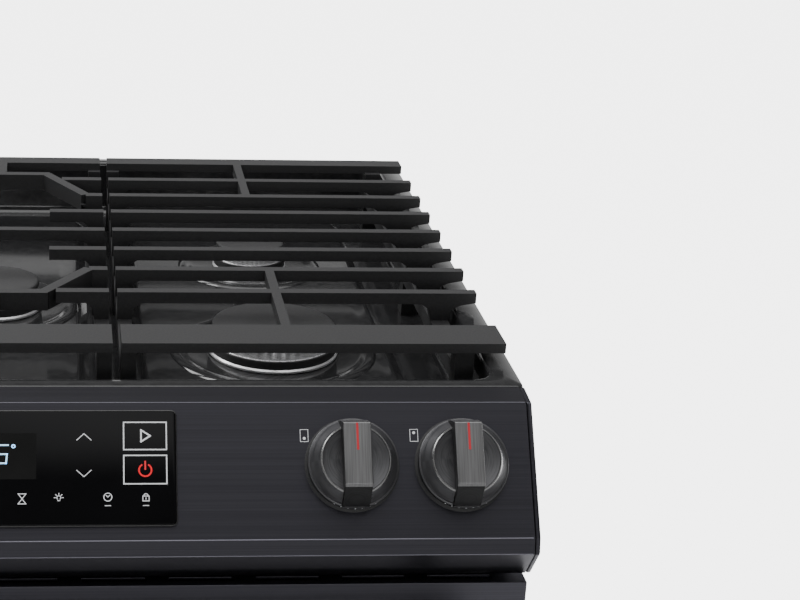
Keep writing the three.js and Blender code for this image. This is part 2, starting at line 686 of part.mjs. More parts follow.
function makeFan() {
  const f = FAN;
  const hub = joined([
    cylinderY(0, f.z, f.hub, f.front + 1, f.back - 1, 20),
    cylinderY(0, f.z, f.shaft, f.back - 2, f.back + f.shaftLength, 12),
    cylinderY(0, f.z, f.radius, f.back - 3, f.back - 1.5, 24),
  ]);
  const blades = Array.from({ length: f.blades }, (_, i) => {
    const geometry = new THREE.BoxGeometry(
      f.radius - f.bladeRoot - 4, f.back - f.front - 3, f.bladeThick);
    geometry.rotateX(f.bladeTwist);
    geometry.translate((f.radius + f.bladeRoot) / 2, 0, 0);
    geometry.rotateY(i * 2 * Math.PI / f.blades);
    geometry.translate(0, (f.front + f.back) / 2, f.z);
    return toSolid(geometry);
  });
  place('convection_fan', joined([hub, ...blades]), steel);
}

function makeFanCover() {
  const { half, front, corner } = FAN_COVER;
  const inner = half - SHEET;
  const shell = without(
    uprightBlock(half, FAN.z - half, FAN.z + half, front, CAVITY.back - GAP, corner),
    [uprightBlock(inner, FAN.z - inner, FAN.z + inner,
      front + SHEET, CAVITY.back + 5, corner - SHEET)]);
  const slots = Array.from({ length: FAN_COVER.slots }, (_, i) => {
    const z = FAN.z + (i - (FAN_COVER.slots - 1) / 2) * FAN_COVER.pitch;
    return box(-FAN_COVER.slotHalf, FAN_COVER.slotHalf, front - 5, front + 5, z - 4, z + 4);
  });
  place('fan_cover', without(shell, slots), cavityEnamel);
}

function makeFanMotor() {
  const m = FAN_MOTOR;
  const motor = cylinderY(0, FAN.z, m.radius, CAVITY.back + m.gap, CAVITY.back + m.length)
    .subtract(cylinderY(0, FAN.z, m.bore, CAVITY.back, CAVITY.back + m.boreLength, 12));
  place('fan_motor', motor, galvanised);
}

function makeLamp() {
  const lamp = joined([
    cylinderY(0, 0, LAMP.lens, CAVITY.back - LAMP.lensDepth, CAVITY.back - GAP),
    cylinderY(0, 0, LAMP.neck, CAVITY.back - 2, CAVITY.back + LAMP.neckLength),
  ]);
  place('oven_lamp', lamp, glassBlack).position.set(LAMP.x, 0, LAMP.z);
}

// ---- Door ----

function makeDoorOuterPanel() {
  const d = DOOR;
  const tray = box(-HALF_BODY, HALF_BODY, d.front, d.tray, d.bottom, d.top).subtract(
    box(-HALF_BODY + SHEET, HALF_BODY - SHEET, d.front + SHEET, d.tray + 5,
      d.bottom + SHEET, d.top - SHEET));
  const [half, low, high] = d.window;
  const window = uprightBlock(half, low, high, d.front - 5, d.front + 5, 8);
  const vents = Array.from({ length: VENT_COUNT }, (_, i) => {
    const x = (i - (VENT_COUNT - 1) / 2) * VENT_PITCH;
    return box(x - VENT.length / 2, x + VENT.length / 2,
      VENT.y - VENT.width / 2, VENT.y + VENT.width / 2, d.top - 5, d.top + 5);
  });
  const hingeSlots = [-1, 1].map((sign) => {
    const [x0, x1] = mirrored(sign, HINGE.slotX[0], HINGE.slotX[1]);
    return box(x0, x1, d.front + 4, d.tray + 5, d.bottom - 5, d.bottom + 5);
  });
  place('door_outer_panel', without(tray, [window, ...vents, ...hingeSlots]), blackStainless);
}

function makeDoorGlass() {
  const d = DOOR;
  const pane = ([half, low, high], y0, y1) => uprightBlock(half, low, high, y0, y1, 6);
  const outerFront = d.front + SHEET + GAP;
  place('door_glass_outer', pane(d.glass, outerFront, outerFront + 4), glassBlack);
  const innerBack = d.innerBack - SHEET - GAP;
  place('door_glass_inner', pane(d.innerGlass, innerBack - 4, innerBack), glassBlack);
}

function makeDoorInnerPanel() {
  const d = DOOR;
  const front = d.tray + GAP;
  const pan = uprightBlock(d.innerHalf, d.innerBottom, d.innerTop, front, d.innerBack, 12);
  const inside = uprightBlock(
    d.innerHalf - SHEET, d.innerBottom + SHEET, d.innerTop - SHEET,
    front - 5, d.innerBack - SHEET, 10);
  const [half, low, high] = d.innerWindow;
  const window = uprightBlock(half, low, high, d.innerBack - 8, d.innerBack + 5, 10);
  place('door_inner_panel', without(pan, [inside, window]), cavityEnamel);
}

function makeHandle() {
  const h = HANDLE;
  const back = h.front + h.depth;
  const r = h.height / 2;
  const outline = [];
  for (let i = 0; i <= 8; i += 1) {
    const angle = Math.PI / 2 + i * Math.PI / 8;
    outline.push([h.front + r + r * Math.cos(angle), h.z + r * Math.sin(angle)]);
  }
  outline.push([back, h.z - r + 3], [back, h.z + r - 3]);
  const posts = [-1, 1].map((sign) => {
    const [x0, x1] = mirrored(sign, h.postX - h.postHalf, h.postX + h.postHalf);
    return box(x0, x1, back - 3, DOOR.front - GAP, h.z - r + 3, h.z + r - 3);
  });
  place('door_handle', joined([sweptAlongX(outline, -h.half, h.half), ...posts]), blackStainless);
}

function makeHinges() {
  const p = PIVOT;
  const h = HINGE;
  const flangeFace = CAVITY.front - SHEET - GAP;
  for (const sign of [-1, 1]) {
    const bracketX = mirrored(sign, h.bracketX[0], h.bracketX[1]);
    const footX = mirrored(sign, h.footX[0], h.footX[1]);
    const bracket = joined([
      box(...bracketX, p.y - h.bracketHalf, flangeFace,
        p.z - h.bracketHalf, p.z + h.bracketHalf),
      box(...footX, flangeFace - SHEET, flangeFace, p.z + h.footZ[0], p.z + h.footZ[1]),
    ]).subtract(cylinderX(p.y, p.z, p.hole, bracketX[0] - 1, bracketX[1] + 1, 20));
    place(`hinge_bracket_${sideOf(sign)}`, bracket, steel);

    const armX = mirrored(sign, h.armX[0], h.armX[1]);
    const pinX = mirrored(sign, h.bracketX[0] - 2, h.armX[1] - 1);
    const arm = joined([
      box(...armX, p.y - h.armFront, p.y + h.armBack, p.z - h.armHalf, p.z + h.armHalf),
      box(...armX, p.y - h.armFront, p.y - 0.2, p.z, p.z + h.armRise),
      cylinderX(p.y, p.z, p.pin, pinX[0], pinX[1], 20),
    ]);
    place(`hinge_arm_${sideOf(sign)}`, arm, steel);
  }
}

function makeGasket() {
  const back = CAVITY.front - SHEET - GAP;
  const front = DOOR.innerBack + GAP;
  const g = GASKET;
  const ring = uprightBlock(...g.outer, front, back, g.outerCorner).subtract(
    uprightBlock(...g.inner, front - 5, back + 5, g.innerCorner));
  place('door_gasket', ring, gasketFibre);
}

// ---- Drawer ----

function makeDrawer() {
  const d = DRAWER;
  const front = box(-HALF_BODY, HALF_BODY, d.front, d.back, d.bottom, d.top).subtract(
    box(-HALF_BODY + SHEET, HALF_BODY - SHEET, d.front + SHEET, d.back + 5,
      d.bottom + SHEET, d.top - SHEET));
  place('drawer_front', front, blackStainless);

  const boxFront = d.back + GAP;
  const tub = box(-d.boxHalf, d.boxHalf, boxFront, d.boxBack, d.boxBottom, d.boxTop).subtract(
    box(-d.boxHalf + SHEET, d.boxHalf - SHEET, boxFront + SHEET, d.boxBack - SHEET,
      d.boxBottom + SHEET, d.boxTop + 5));
  const runners = [-1, 1].map((sign) => {
    const [x0, x1] = mirrored(sign, d.boxHalf - 1, d.flangeHalf);
    const low = BASE.railTop + GAP;
    return box(x0, x1, boxFront + 8, d.boxBack, low, low + SHEET);
  });
  place('drawer_box', joined([tub, ...runners]), galvanised);
}

makeSidePanels();
makeBackPanel();
makeBasePan();
makeFeet();
makeVentTrim();
makeCooktop();
makeSideGrate(-1);
makeSideGrate(1);
makeCentreGrate();
makeBurners();
const face = makeFaceGroup();
makeControlPanel(face);
makeEndCaps();
makeTouchPanel(face);
makeKnobs(face);
makeManifold(face);
makeCavity();
makeRack(RACK_Z[0], 'oven_rack_lower');
makeRack(RACK_Z[1], 'oven_rack_upper');
makeOvenBurners();
makeFan();
makeFanCover();
makeFanMotor();
makeLamp();
makeDoorOuterPanel();
makeDoorGlass();
makeDoorInnerPanel();
makeHandle();
makeHinges();
makeGasket();
makeDrawer();

export default range;
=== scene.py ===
"""The looks of a freestanding gas range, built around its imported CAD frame. Sizes are in metres."""

import json
import math

import bmesh
import bpy
from mathutils import Matrix, Vector


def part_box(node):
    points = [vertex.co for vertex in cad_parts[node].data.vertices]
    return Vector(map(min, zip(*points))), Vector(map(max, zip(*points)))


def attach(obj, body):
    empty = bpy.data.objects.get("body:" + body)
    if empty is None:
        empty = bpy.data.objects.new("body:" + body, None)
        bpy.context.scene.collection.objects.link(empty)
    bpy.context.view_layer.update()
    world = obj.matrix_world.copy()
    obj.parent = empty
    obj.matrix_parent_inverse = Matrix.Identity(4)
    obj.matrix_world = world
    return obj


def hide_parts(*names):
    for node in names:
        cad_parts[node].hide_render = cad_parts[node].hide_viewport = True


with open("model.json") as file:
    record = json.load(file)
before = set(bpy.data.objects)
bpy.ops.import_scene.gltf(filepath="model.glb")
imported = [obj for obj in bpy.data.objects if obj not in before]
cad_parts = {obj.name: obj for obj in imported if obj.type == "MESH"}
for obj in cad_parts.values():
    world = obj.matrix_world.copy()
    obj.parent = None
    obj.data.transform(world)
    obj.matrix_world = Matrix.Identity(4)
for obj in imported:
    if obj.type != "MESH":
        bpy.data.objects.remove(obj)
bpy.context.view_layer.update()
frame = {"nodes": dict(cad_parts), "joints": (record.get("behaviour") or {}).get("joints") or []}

MM = 0.001

# ---- Camera and studio ----

CAMERA_PLACE = (0.0506, -1.466, 1.4314)
CAMERA_DOWN = 20.16           # degrees below the horizon
CAMERA_RIGHT = 5.31           # degrees to the right of +Y
CAMERA_ROLL = 2.06
CAMERA_LENS = 86.4            # on a 36 mm sensor
CAMERA_SHIFT = (0.22, 0.0)

CEILING_LIGHT = 2.3           # overhead, where the studio is one large soft ceiling
CEILING_EDGE = (0.72, 0.95)   # height on a unit sky where the ceiling starts, and where it is full
WALL_LIGHT = 0.14             # the dim walls between the horizon and the ceiling
HORIZON_LIGHT = 0.9           # the lit foot of the back wall
HORIZON_EDGE = (0.12, 0.42)
BACK_EDGE = (-0.5, 0.5)       # along Y on a unit sky, from the dim front to the lit back
FLOOR_HALF = 30.0
FLOOR_GLOW = 4.2              # the lit sweep behind the range
FLOOR_GLOW_EDGE = (-0.9, 1.2)  # along Y, where the sweep's light starts, and where it is full
KEY_LIGHT = {"place": (-1.3, 0.7, 2.6), "aim": (0, -0.1, 0.9), "size": (1.5, 1.5), "power": 46}
FRONT_LIGHT = {"place": (0.3, -4.5, 1.9), "aim": (0, 0, 0.75), "size": (3.0, 0.8), "power": 26}

# ---- Shared sizes ----

FINGER_EDGE = 1.3 * MM        # rounding on the cast bars
SHEET_EDGE = 0.8 * MM         # rounding on sheet metal
FOLD_EDGE = 1.2 * MM          # rounding on the folds of the front panels

GLASS_EDGE = 0.5 * MM
FIBRE_EDGE = 0.6 * MM
STEEL_EDGE = 0.3 * MM
SHARP_ANGLE = 32              # degrees; a sharper fold than this keeps a crisp edge

SHEET = 2 * MM                # thickness of the cooktop's sheet
WELL_INSETS = (20 * MM, 14.5 * MM, 14 * MM)   # from the rim: at the sides, front and back
SKIRT_HEIGHT = 24.4 * MM
RIM_FILLET = 3.5 * MM
FLOOR_FILLET = 8 * MM
WELL_CORNER = 15 * MM

STAMPINGS = {"left": (-312, -120), "middle": (-68, 68), "right": (120, 312)}   # x, in millimetres
STAMPING_INSETS = (49.3 * MM, 40 * MM)        # from the cooktop's front and back
STAMPING_HEIGHT = 4 * MM
LOCATOR_X = (88, 101)                         # in millimetres
LOCATOR_INSETS = (12.5 * MM, 41.3 * MM)       # from the cooktop's front
LOCATOR_HEIGHT = 20 * MM

BURNERS = ["front_right", "front_left", "rear_right", "rear_left", "centre"]
THROAT_DEPTH = 16 * MM
THROAT_RADIUS = 19 * MM
BURNER_PORTS = 72
LID_ROUNDING = 2.2 * MM
BOWL_REACH = 34               # how far the stamped bowl goes past the cap, in millimetres
IGNITER_ANGLE = 2.2           # radians round the burner
IGNITER_GAP = 5 * MM          # from the cap

KNOB_LIFT = 3.4 * MM
KNOB_GRIP_WIDTH = 19.0 * MM
KNOB_GRIP_TOP = 29.0 * MM
TICK_STEP = 9                 # degrees between the ticks on a knob's skirt

PANEL_FOLDS = [(-260.0, 911.6), (-317.25, 835.95), (-319.5, 825.1)]   # [y, z], in millimetres
# radius of the rods that carry the painted highlight along the panel's folds
FOLD_HIGHLIGHT_RADIUS = 0.55 * MM

INK = 0.05 * MM               # thickness of a printed line
DIGIT_SLANT = 0.10
SEGMENTS = {"0": "abcdef", "1": "bc", "2": "abged", "3": "abgcd", "5": "afgcd", "7": "abc"}
DISPLAY_DIGITS = (("1", -76.0), ("2", -67.0), ("3", -54.0), ("0", -43.0),
                  ("3", -11.0), ("7", -0.2), ("5", 10.6))              # digit and x, in millimetres
MARK_PLACE = (-32.3, 20.7)    # from a knob's centre to its burner mark, in millimetres

RACK_BRACE_Y = -31.5 * MM
RACK_GAPS = 21                # gaps between the wires of a rack
FRAME_WIRE = 2.5 * MM
CROSS_WIRE = 1.7 * MM

HANDLE_DEPTH = 22 * MM
HANDLE_SQUARENESS = 0.72      # 1 is an ellipse, and less is nearer to a rectangle
HANDLE_SIDES = 40
POST_X = 311 * MM
POST_SIDES = 28

RIB_X = (-0.24, 0.0, 0.24)
RIB_HALF = 16 * MM
RIB_INSETS = (90 * MM, 170 * MM)      # from the back panel's bottom and top
LOUVRE_X = (-0.30, -0.18, -0.06, 0.06, 0.18, 0.30)
LOUVRE_DROPS = (70 * MM, 95 * MM, 120 * MM)   # below the back panel's top
LOUVRE_HALF = (45 * MM, 6 * MM)
SCREW_X = (-0.36, -0.12, 0.12, 0.36)
SCREW_INSET = 20 * MM
MIDDLE_SCREW_Z = 0.46


# ---- Materials ----

def new_material(name, color, roughness, metallic=0.0):
    material = bpy.data.materials.new(name)
    material.use_nodes = True
    shader = material.node_tree.nodes["Principled BSDF"]
    shader.inputs["Base Color"].default_value = (*color, 1.0)
    shader.inputs["Roughness"].default_value = roughness
    shader.inputs["Metallic"].default_value = metallic
    return material, shader


def noise(material, stretch, detail=3.0):
    """Noise in the piece's own coordinates, with so many grains a metre along each axis."""
    nodes, links = material.node_tree.nodes, material.node_tree.links
    place = nodes.new("ShaderNodeTexCoord")
    scale = nodes.new("ShaderNodeMapping")
    scale.inputs["Scale"].default_value = stretch
    texture = nodes.new("ShaderNodeTexNoise")
    texture.inputs["Scale"].default_value = 1.0
    texture.inputs["Detail"].default_value = detail
    links.new(place.outputs["Object"], scale.inputs["Vector"])
    links.new(scale.outputs["Vector"], texture.inputs["Vector"])
    return texture.outputs["Fac"]


def spun_noise(material, turns, rings):
    """Noise drawn out round the piece's own Z axis, as on turned metal."""
    nodes, links = material.node_tree.nodes, material.node_tree.links
    place = nodes.new("ShaderNodeTexCoord")
    split = nodes.new("ShaderNodeSeparateXYZ")
    angle = nodes.new("ShaderNodeMath")
    angle.operation = "ARCTAN2"
    radius = nodes.new("ShaderNodeVectorMath")
    radius.operation = "LENGTH"
    joined = nodes.new("ShaderNodeCombineXYZ")
    scale = nodes.new("ShaderNodeMapping")
    scale.inputs["Scale"].default_value = (turns, rings, 1.0)
    texture = nodes.new("ShaderNodeTexNoise")
    texture.inputs["Scale"].default_value = 1.0
    links.new(place.outputs["Object"], split.inputs[0])
    links.new(split.outputs["Y"], angle.inputs[0])
    links.new(split.outputs["X"], angle.inputs[1])
    links.new(place.outputs["Object"], radius.inputs[0])
    links.new(angle.outputs[0], joined.inputs["X"])
    links.new(radius.outputs["Value"], joined.inputs["Y"])
    links.new(joined.outputs[0], scale.inputs["Vector"])
    links.new(scale.outputs["Vector"], texture.inputs["Vector"])
    return texture.outputs["Fac"]


def vary_color(material, shader, factor, low, high):
    """Lets the colour go between two tones that are close together."""
    nodes, links = material.node_tree.nodes, material.node_tree.links
    ramp = nodes.new("ShaderNodeValToRGB")
    ramp.color_ramp.elements[0].position = 0.35
    ramp.color_ramp.elements[0].color = (*low, 1.0)
    ramp.color_ramp.elements[1].position = 0.65
    ramp.color_ramp.elements[1].color = (*high, 1.0)
    links.new(factor, ramp.inputs["Fac"])
    links.new(ramp.outputs["Color"], shader.inputs["Base Color"])


def vary_roughness(material, shader, factor, low, high):
    nodes, links = material.node_tree.nodes, material.node_tree.links
    spread = nodes.new("ShaderNodeMapRange")
    spread.inputs["From Min"].default_value = 0.3
    spread.inputs["From Max"].default_value = 0.7
    spread.inputs["To Min"].default_value = low
    spread.inputs["To Max"].default_value = high
    links.new(factor, spread.inputs["Value"])
    links.new(spread.outputs["Result"], shader.inputs["Roughness"])


def add_bump(material, shader, factor, strength, depth):
    nodes, links = material.node_tree.nodes, material.node_tree.links
    bump = nodes.new("ShaderNodeBump")
    bump.inputs["Strength"].default_value = strength
    bump.inputs["Distance"].default_value = depth
    links.new(factor, bump.inputs["Height"])
    links.new(bump.outputs["Normal"], shader.inputs["Normal"])


def brushed_black(name, grain, tone=1.0):
    """Black stainless: a dark tinted coating over steel brushed one way."""
    material, shader = new_material(name, (0.055, 0.054, 0.060), 0.4, 0.9)
    streaks = noise(material, grain, 4.0)
    dark, light = (0.049, 0.048, 0.0565), (0.057, 0.056, 0.066)
    # tone above 1 paints a lighter copy of the same finish: painted light on the door fronts, a
    # painted highlight on the fold rods
    vary_color(material, shader, streaks, [tone * c for c in dark], [tone * c for c in light])
    vary_roughness(material, shader, streaks, 0.36, 0.42)
    add_bump(material, shader, streaks, 0.04, 0.0001)
    return material


def glossy_enamel():
    """Black porcelain enamel with a faint orange peel."""
    material, shader = new_material("cooktop_enamel", (0.025, 0.025, 0.026), 0.12)
    shader.inputs["Coat Weight"].default_value = 0.5
    shader.inputs["Coat Roughness"].default_value = 0.06
    peel = noise(material, (160, 160, 160), 2.0)
    vary_color(material, shader, peel, (0.021, 0.021, 0.022), (0.029, 0.029, 0.030))
    vary_roughness(material, shader, peel, 0.10, 0.17)
    add_bump(material, shader, peel, 0.02, 0.0002)
    return material


def side_paint():
    material, shader = new_material("side_paint", (0.03, 0.03, 0.033), 0.45)
    peel = noise(material, (450, 450, 450), 3.0)
    vary_color(material, shader, peel, (0.026, 0.026, 0.029), (0.034, 0.034, 0.037))
    vary_roughness(material, shader, peel, 0.4, 0.5)
    add_bump(material, shader, peel, 0.12, 0.0002)
    return material


def cast_iron():
    """The coarse matt enamel on cast iron."""
    material, shader = new_material("cast_iron", (0.032, 0.032, 0.033), 0.5)
    grain = noise(material, (700, 700, 700), 6.0)
    vary_color(material, shader, grain, (0.022, 0.022, 0.023), (0.032, 0.032, 0.033))
    vary_roughness(material, shader, grain, 0.42, 0.58)
    add_bump(material, shader, grain, 0.2, 0.0003)
    return material


def cap_enamel():
    material, shader = new_material("cap_enamel", (0.05, 0.05, 0.051), 0.5)
    grain = noise(material, (500, 500, 500), 5.0)
    vary_color(material, shader, grain, (0.036, 0.036, 0.037), (0.05, 0.05, 0.051))
    vary_roughness(material, shader, grain, 0.42, 0.56)
    add_bump(material, shader, grain, 0.15, 0.0003)
    return material


def turned_metal(name, low, high, roughness, metallic=0.9):
    material, shader = new_material(name, high, roughness, metallic)
    rings = spun_noise(material, 1.2, 2600)
    vary_color(material, shader, rings, low, high)
    vary_roughness(material, shader, rings, roughness - 0.05, roughness + 0.08)
    add_bump(material, shader, rings, 0.10, 0.0001)
    return material


def straight_metal(name, low, high, roughness, grain=(1500, 25, 400), metallic=0.95):
    material, shader = new_material(name, high, roughness, metallic)
    streaks = noise(material, grain, 3.0)
    vary_color(material, shader, streaks, low, high)
    vary_roughness(material, shader, streaks, roughness - 0.05, roughness + 0.08)
    add_bump(material, shader, streaks, 0.08, 0.0001)
    return material


def black_glass(name, tone, roughness):
    material, shader = new_material(name, tone, roughness)
    shader.inputs["Specular IOR Level"].default_value = 0.1
    smears = noise(material, (14, 14, 14), 4.0)
    vary_color(material, shader, smears, tone, tuple(1.3 * c for c in tone))
    vary_roughness(material, shader, smears, roughness, roughness + 0.05)
    return material


def galvanised():
    material, shader = new_material("galvanised", (0.35, 0.36, 0.37), 0.45, 0.85)
    spangle = noise(material, (90, 90, 90), 3.0)
    vary_color(material, shader, spangle, (0.17, 0.175, 0.18), (0.23, 0.235, 0.24))
    vary_roughness(material, shader, spangle, 0.35, 0.55)
    return material


def speckled_enamel():
    material, shader = new_material("oven_enamel", (0.02, 0.024, 0.035), 0.25)
    specks = noise(material, (700, 700, 700), 1.0)
    vary_color(material, shader, specks, (0.016, 0.019, 0.028), (0.05, 0.055, 0.07))
    vary_roughness(material, shader, specks, 0.2, 0.35)
    return material


def moulded_plastic():
    material, shader = new_material("moulded_plastic", (0.02, 0.02, 0.021), 0.5)
    grain = noise(material, (1200, 1200, 1200), 2.0)
    vary_color(material, shader, grain, (0.017, 0.017, 0.018), (0.026, 0.026, 0.027))
    add_bump(material, shader, grain, 0.2, 0.0002)
    return material


def woven_fibre():
    material, shader = new_material("gasket_fibre", (0.12, 0.12, 0.11), 0.9)
    weave = noise(material, (500, 500, 500), 2.0)
    vary_color(material, shader, weave, (0.08, 0.08, 0.075), (0.17, 0.17, 0.16))
    add_bump(material, shader, weave, 0.6, 0.0006)
    return material


def printed_ink(name, color, glow=0.0):
    material, shader = new_material(name, color, 0.6)
    grain = noise(material, (2500, 2500, 2500), 1.0)
    vary_color(material, shader, grain, tuple(0.9 * c for c in color), color)
    # glow lets the print give off light of its own: the display digits are lit, but on the other marks
    # it is a painted glow
    shader.inputs["Emission Color"].default_value = (*color, 1.0)
    shader.inputs["Emission Strength"].default_value = glow
    return material


def lamp_glass():
    material, shader = new_material("lamp_glass", (0.75, 0.72, 0.62), 0.15)
    ribs = noise(material, (300, 300, 300), 1.0)
    vary_color(material, shader, ribs, (0.65, 0.62, 0.52), (0.82, 0.80, 0.72))
    shader.inputs["Coat Weight"].default_value = 1.0
    return material


MATERIALS = {
    "panel": brushed_black("black_stainless_across", (3, 900, 900)),
    # the door and drawer fronts: the same black stainless painted 1.7 times lighter, as painted light
    "door": brushed_black("black_stainless_door_painted_lighter", (3, 900, 900), 1.7),
    # three times lighter: the painted highlight on the rods along the panel's folds
    "edge": brushed_black("black_stainless_fold_highlight", (3, 900, 900), 3.0),
    "sides": side_paint(),
    "enamel": glossy_enamel(),
    "iron": cast_iron(),
    "cap": cap_enamel(),
    "burner": turned_metal("burner_aluminium", (0.80, 0.80, 0.81), (0.95, 0.95, 0.96), 0.28, 0.5),
    "burner_ring": cap_enamel(),
    "skirt": turned_metal("knob_skirt", (0.065, 0.065, 0.069), (0.10, 0.10, 0.105), 0.32, 0.5),
    # a darker copy of the knob's metal: painted shade on the grip's sides, its sloping lower end and
    # the skirt's foot band
    "painted_shade": turned_metal("knob_dark_end", (0.016, 0.016, 0.017), (0.026, 0.026, 0.027), 0.4, 0.6),
    "plateau": turned_metal("knob_plateau", (0.08, 0.08, 0.084), (0.115, 0.115, 0.12), 0.38, 0.7),
    # a lighter copy of the knob's metal on the lip round the plateau: a painted highlight
    "knob_ring": turned_metal("knob_ring", (0.22, 0.22, 0.22), (0.30, 0.30, 0.30), 0.25),
    "border": turned_metal("glass_border", (0.05, 0.05, 0.05), (0.08, 0.08, 0.08), 0.4),
    "grip": straight_metal("knob_grip", (0.18, 0.18, 0.182), (0.25, 0.25, 0.252), 0.36),
    "glass": black_glass("black_glass", (0.004, 0.004, 0.0045), 0.04),
    "display": black_glass("display_window", (0.012, 0.012, 0.012), 0.10),
    "door_glass": black_glass("door_glass", (0.006, 0.006, 0.007), 0.05),
    "steel": straight_metal("plain_steel", (0.38, 0.39, 0.40), (0.5, 0.51, 0.52), 0.35,
                            (300, 300, 300)),
    "chrome": straight_metal("rack_chrome", (0.55, 0.55, 0.56), (0.7, 0.7, 0.71), 0.15,
                             (200, 200, 200)),
    "zinc": galvanised(),
    "oven": speckled_enamel(),
    "plastic": moulded_plastic(),
    "fibre": woven_fibre(),
    "lamp": lamp_glass(),
    "ceramic": printed_ink("ceramic", (0.75, 0.73, 0.68)),
    # white print that also gives off a painted glow
    "white_ink": printed_ink("white_ink", (0.75, 0.76, 0.78), 0.35),
    # red print that also gives off a painted glow
    "red_ink": printed_ink("red_ink", (0.75, 0.02, 0.03), 0.5),
    # the red pointer inlay, with a faint painted glow
    "pointer": printed_ink("pointer_red_painted_glow", (0.55, 0.02, 0.03), 0.1),
    "blue_light": printed_ink("display_digits", (0.45, 0.75, 1.0), 1.2),
}


# ---- Building pieces ----

def make_piece(mesh_tool, name, body, material, place=None, replaces=()):
    """Turns a bmesh into a smooth piece that rides on a body. material is one key or a list."""
    bmesh.ops.recalc_face_normals(mesh_tool, faces=mesh_tool.faces)
    mesh = bpy.data.meshes.new(name)
    mesh_tool.to_mesh(mesh)
    mesh_tool.free()
    for polygon in mesh.polygons:
        polygon.use_smooth = True
    keys = [material] if isinstance(material, str) else material
    for key in keys:
        mesh.materials.append(MATERIALS[key])
    mesh.set_sharp_from_angle(angle=math.radians(SHARP_ANGLE))
    piece = bpy.data.objects.new(name, mesh)
    bpy.context.scene.collection.objects.link(piece)
    if place is not None:
        piece.matrix_world = place
    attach(piece, body)
    if replaces:
        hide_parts(*replaces)
    return piece


def round_edges(piece, width, segments=3):
    bevel = piece.modifiers.new("rounded_edges", "BEVEL")
    bevel.width = width
    bevel.segments = segments
    bevel.limit_method = "ANGLE"
    bevel.angle_limit = math.radians(30)
    bevel.harden_normals = True


def add_box(tool, low, high):
    corners = [tool.verts.new((x, y, z)) for x in (low[0], high[0])
               for y in (low[1], high[1]) for z in (low[2], high[2])]
    sides = ((0, 1, 3, 2), (4, 6, 7, 5), (0, 4, 5, 1), (2, 3, 7, 6), (0, 2, 6, 4), (1, 5, 7, 3))
    for side in sides:
        tool.faces.new([corners[i] for i in side])


def add_prism(tool, outline, low, high):
    """A flat outline of [x, y] points, from z = low to z = high."""
    bottom = [tool.verts.new((x, y, low)) for x, y in outline]
    top = [tool.verts.new((x, y, high)) for x, y in outline]
    tool.faces.new(list(reversed(bottom)))
    tool.faces.new(top)
    bridge(tool, bottom, top)


def bridge(tool, ring_a, ring_b, material_index=0):
    """A band of faces between two closed rings with the same number of points."""
    count = len(ring_a)
    for i in range(count):
        j = (i + 1) % count
        face = tool.faces.new((ring_a[i], ring_a[j], ring_b[j], ring_b[i]))
        face.material_index = material_index


def add_turned(tool, profile, segments=64, centre=(0, 0, 0), materials=None, ripple=None):
    """A solid of revolution about Z. The [radius, z] profile starts and ends on the axis.
    materials gives a material index for each stretch; ripple(i, row) scales a point's radius."""
    first = tool.verts.new((centre[0], centre[1], centre[2] + profile[0][1]))
    last = tool.verts.new((centre[0], centre[1], centre[2] + profile[-1][1]))
    rings = []
    for row, (radius, z) in enumerate(profile[1:-1]):
        ring = []
        for i in range(segments):
            angle = 2 * math.pi * i / segments
            r = radius * (ripple(i, row) if ripple else 1.0)
            ring.append(tool.verts.new((
                centre[0] + r * math.cos(angle), centre[1] + r * math.sin(angle),
                centre[2] + z)))
        rings.append(ring)
    index = materials or [0] * (len(rings) + 1)
    for i in range(segments):
        j = (i + 1) % segments
        tool.faces.new((first, rings[0][j], rings[0][i])).material_index = index[0]
        tool.faces.new((last, rings[-1][i], rings[-1][j])).material_index = index[-1]
    for row in range(len(rings) - 1):
        bridge(tool, rings[row], rings[row + 1], index[row + 1])


def add_rod(tool, start, end, radius, sides=12):
    """A round rod with flat ends, between two points."""
    start, end = Vector(start), Vector(end)
    turn = (end - start).to_track_quat("Z", "Y").to_matrix()
    rings = []
    for point in (start, end):
        ring = [tool.verts.new(point + turn @ Vector((
            radius * math.cos(2 * math.pi * i / sides), radius * math.sin(2 * math.pi * i / sides),
            0))) for i in range(sides)]
        rings.append(ring)
    bridge(tool, rings[0], rings[1])
    tool.faces.new(list(reversed(rings[0])))
    tool.faces.new(rings[1])


def rounded_ring(tool, rectangle, radius, z, steps=8):
    """Points round a rounded rectangle (x0, x1, y0, y1) at height z."""
    x0, x1, y0, y1 = rectangle
    ring = []
    corners = ((x1 - radius, y1 - radius, 0), (x0 + radius, y1 - radius, 90),
               (x0 + radius, y0 + radius, 180), (x1 - radius, y0 + radius, 270))
    for cx, cy, start in corners:
        for i in range(steps + 1):
            angle = math.radians(start + 90 * i / steps)
            ring.append(tool.verts.new((
                cx + radius * math.cos(angle), cy + radius * math.sin(angle), z)))
    return ring


def grown(rectangle, by):
    """The rectangle (x0, x1, y0, y1) with each side moved outwards."""
    x0, x1, y0, y1 = rectangle
    return (x0 - by, x1 + by, y0 - by, y1 + by)


def add_lofted(tool, rows, close_start=True, close_end=True):
    """A skin through rounded rectangles: each row is (rectangle, corner radius, z)."""
    rings = [rounded_ring(tool, *row) for row in rows]
    for before, after in zip(rings, rings[1:]):
        bridge(tool, before, after)
    if close_start:
        tool.faces.new(list(reversed(rings[0])))
    if close_end:
        tool.faces.new(rings[-1])


# ---- CAD nodes that stay ----

def dress(node, material, edge=SHEET_EDGE, segments=2):
    """Gives a CAD node its material and rounds its edges, without touching its mesh."""
    piece = frame["nodes"][node]
    for holder in piece.material_slots:
        holder.material = MATERIALS[material]
    weld = piece.modifiers.new("weld", "WELD")
    weld.merge_threshold = 0.00002
    flat = piece.modifiers.new("flat_faces", "DECIMATE")
    flat.decimate_type = "DISSOLVE"
    flat.angle_limit = math.radians(1)
    round_edges(piece, edge, segments)


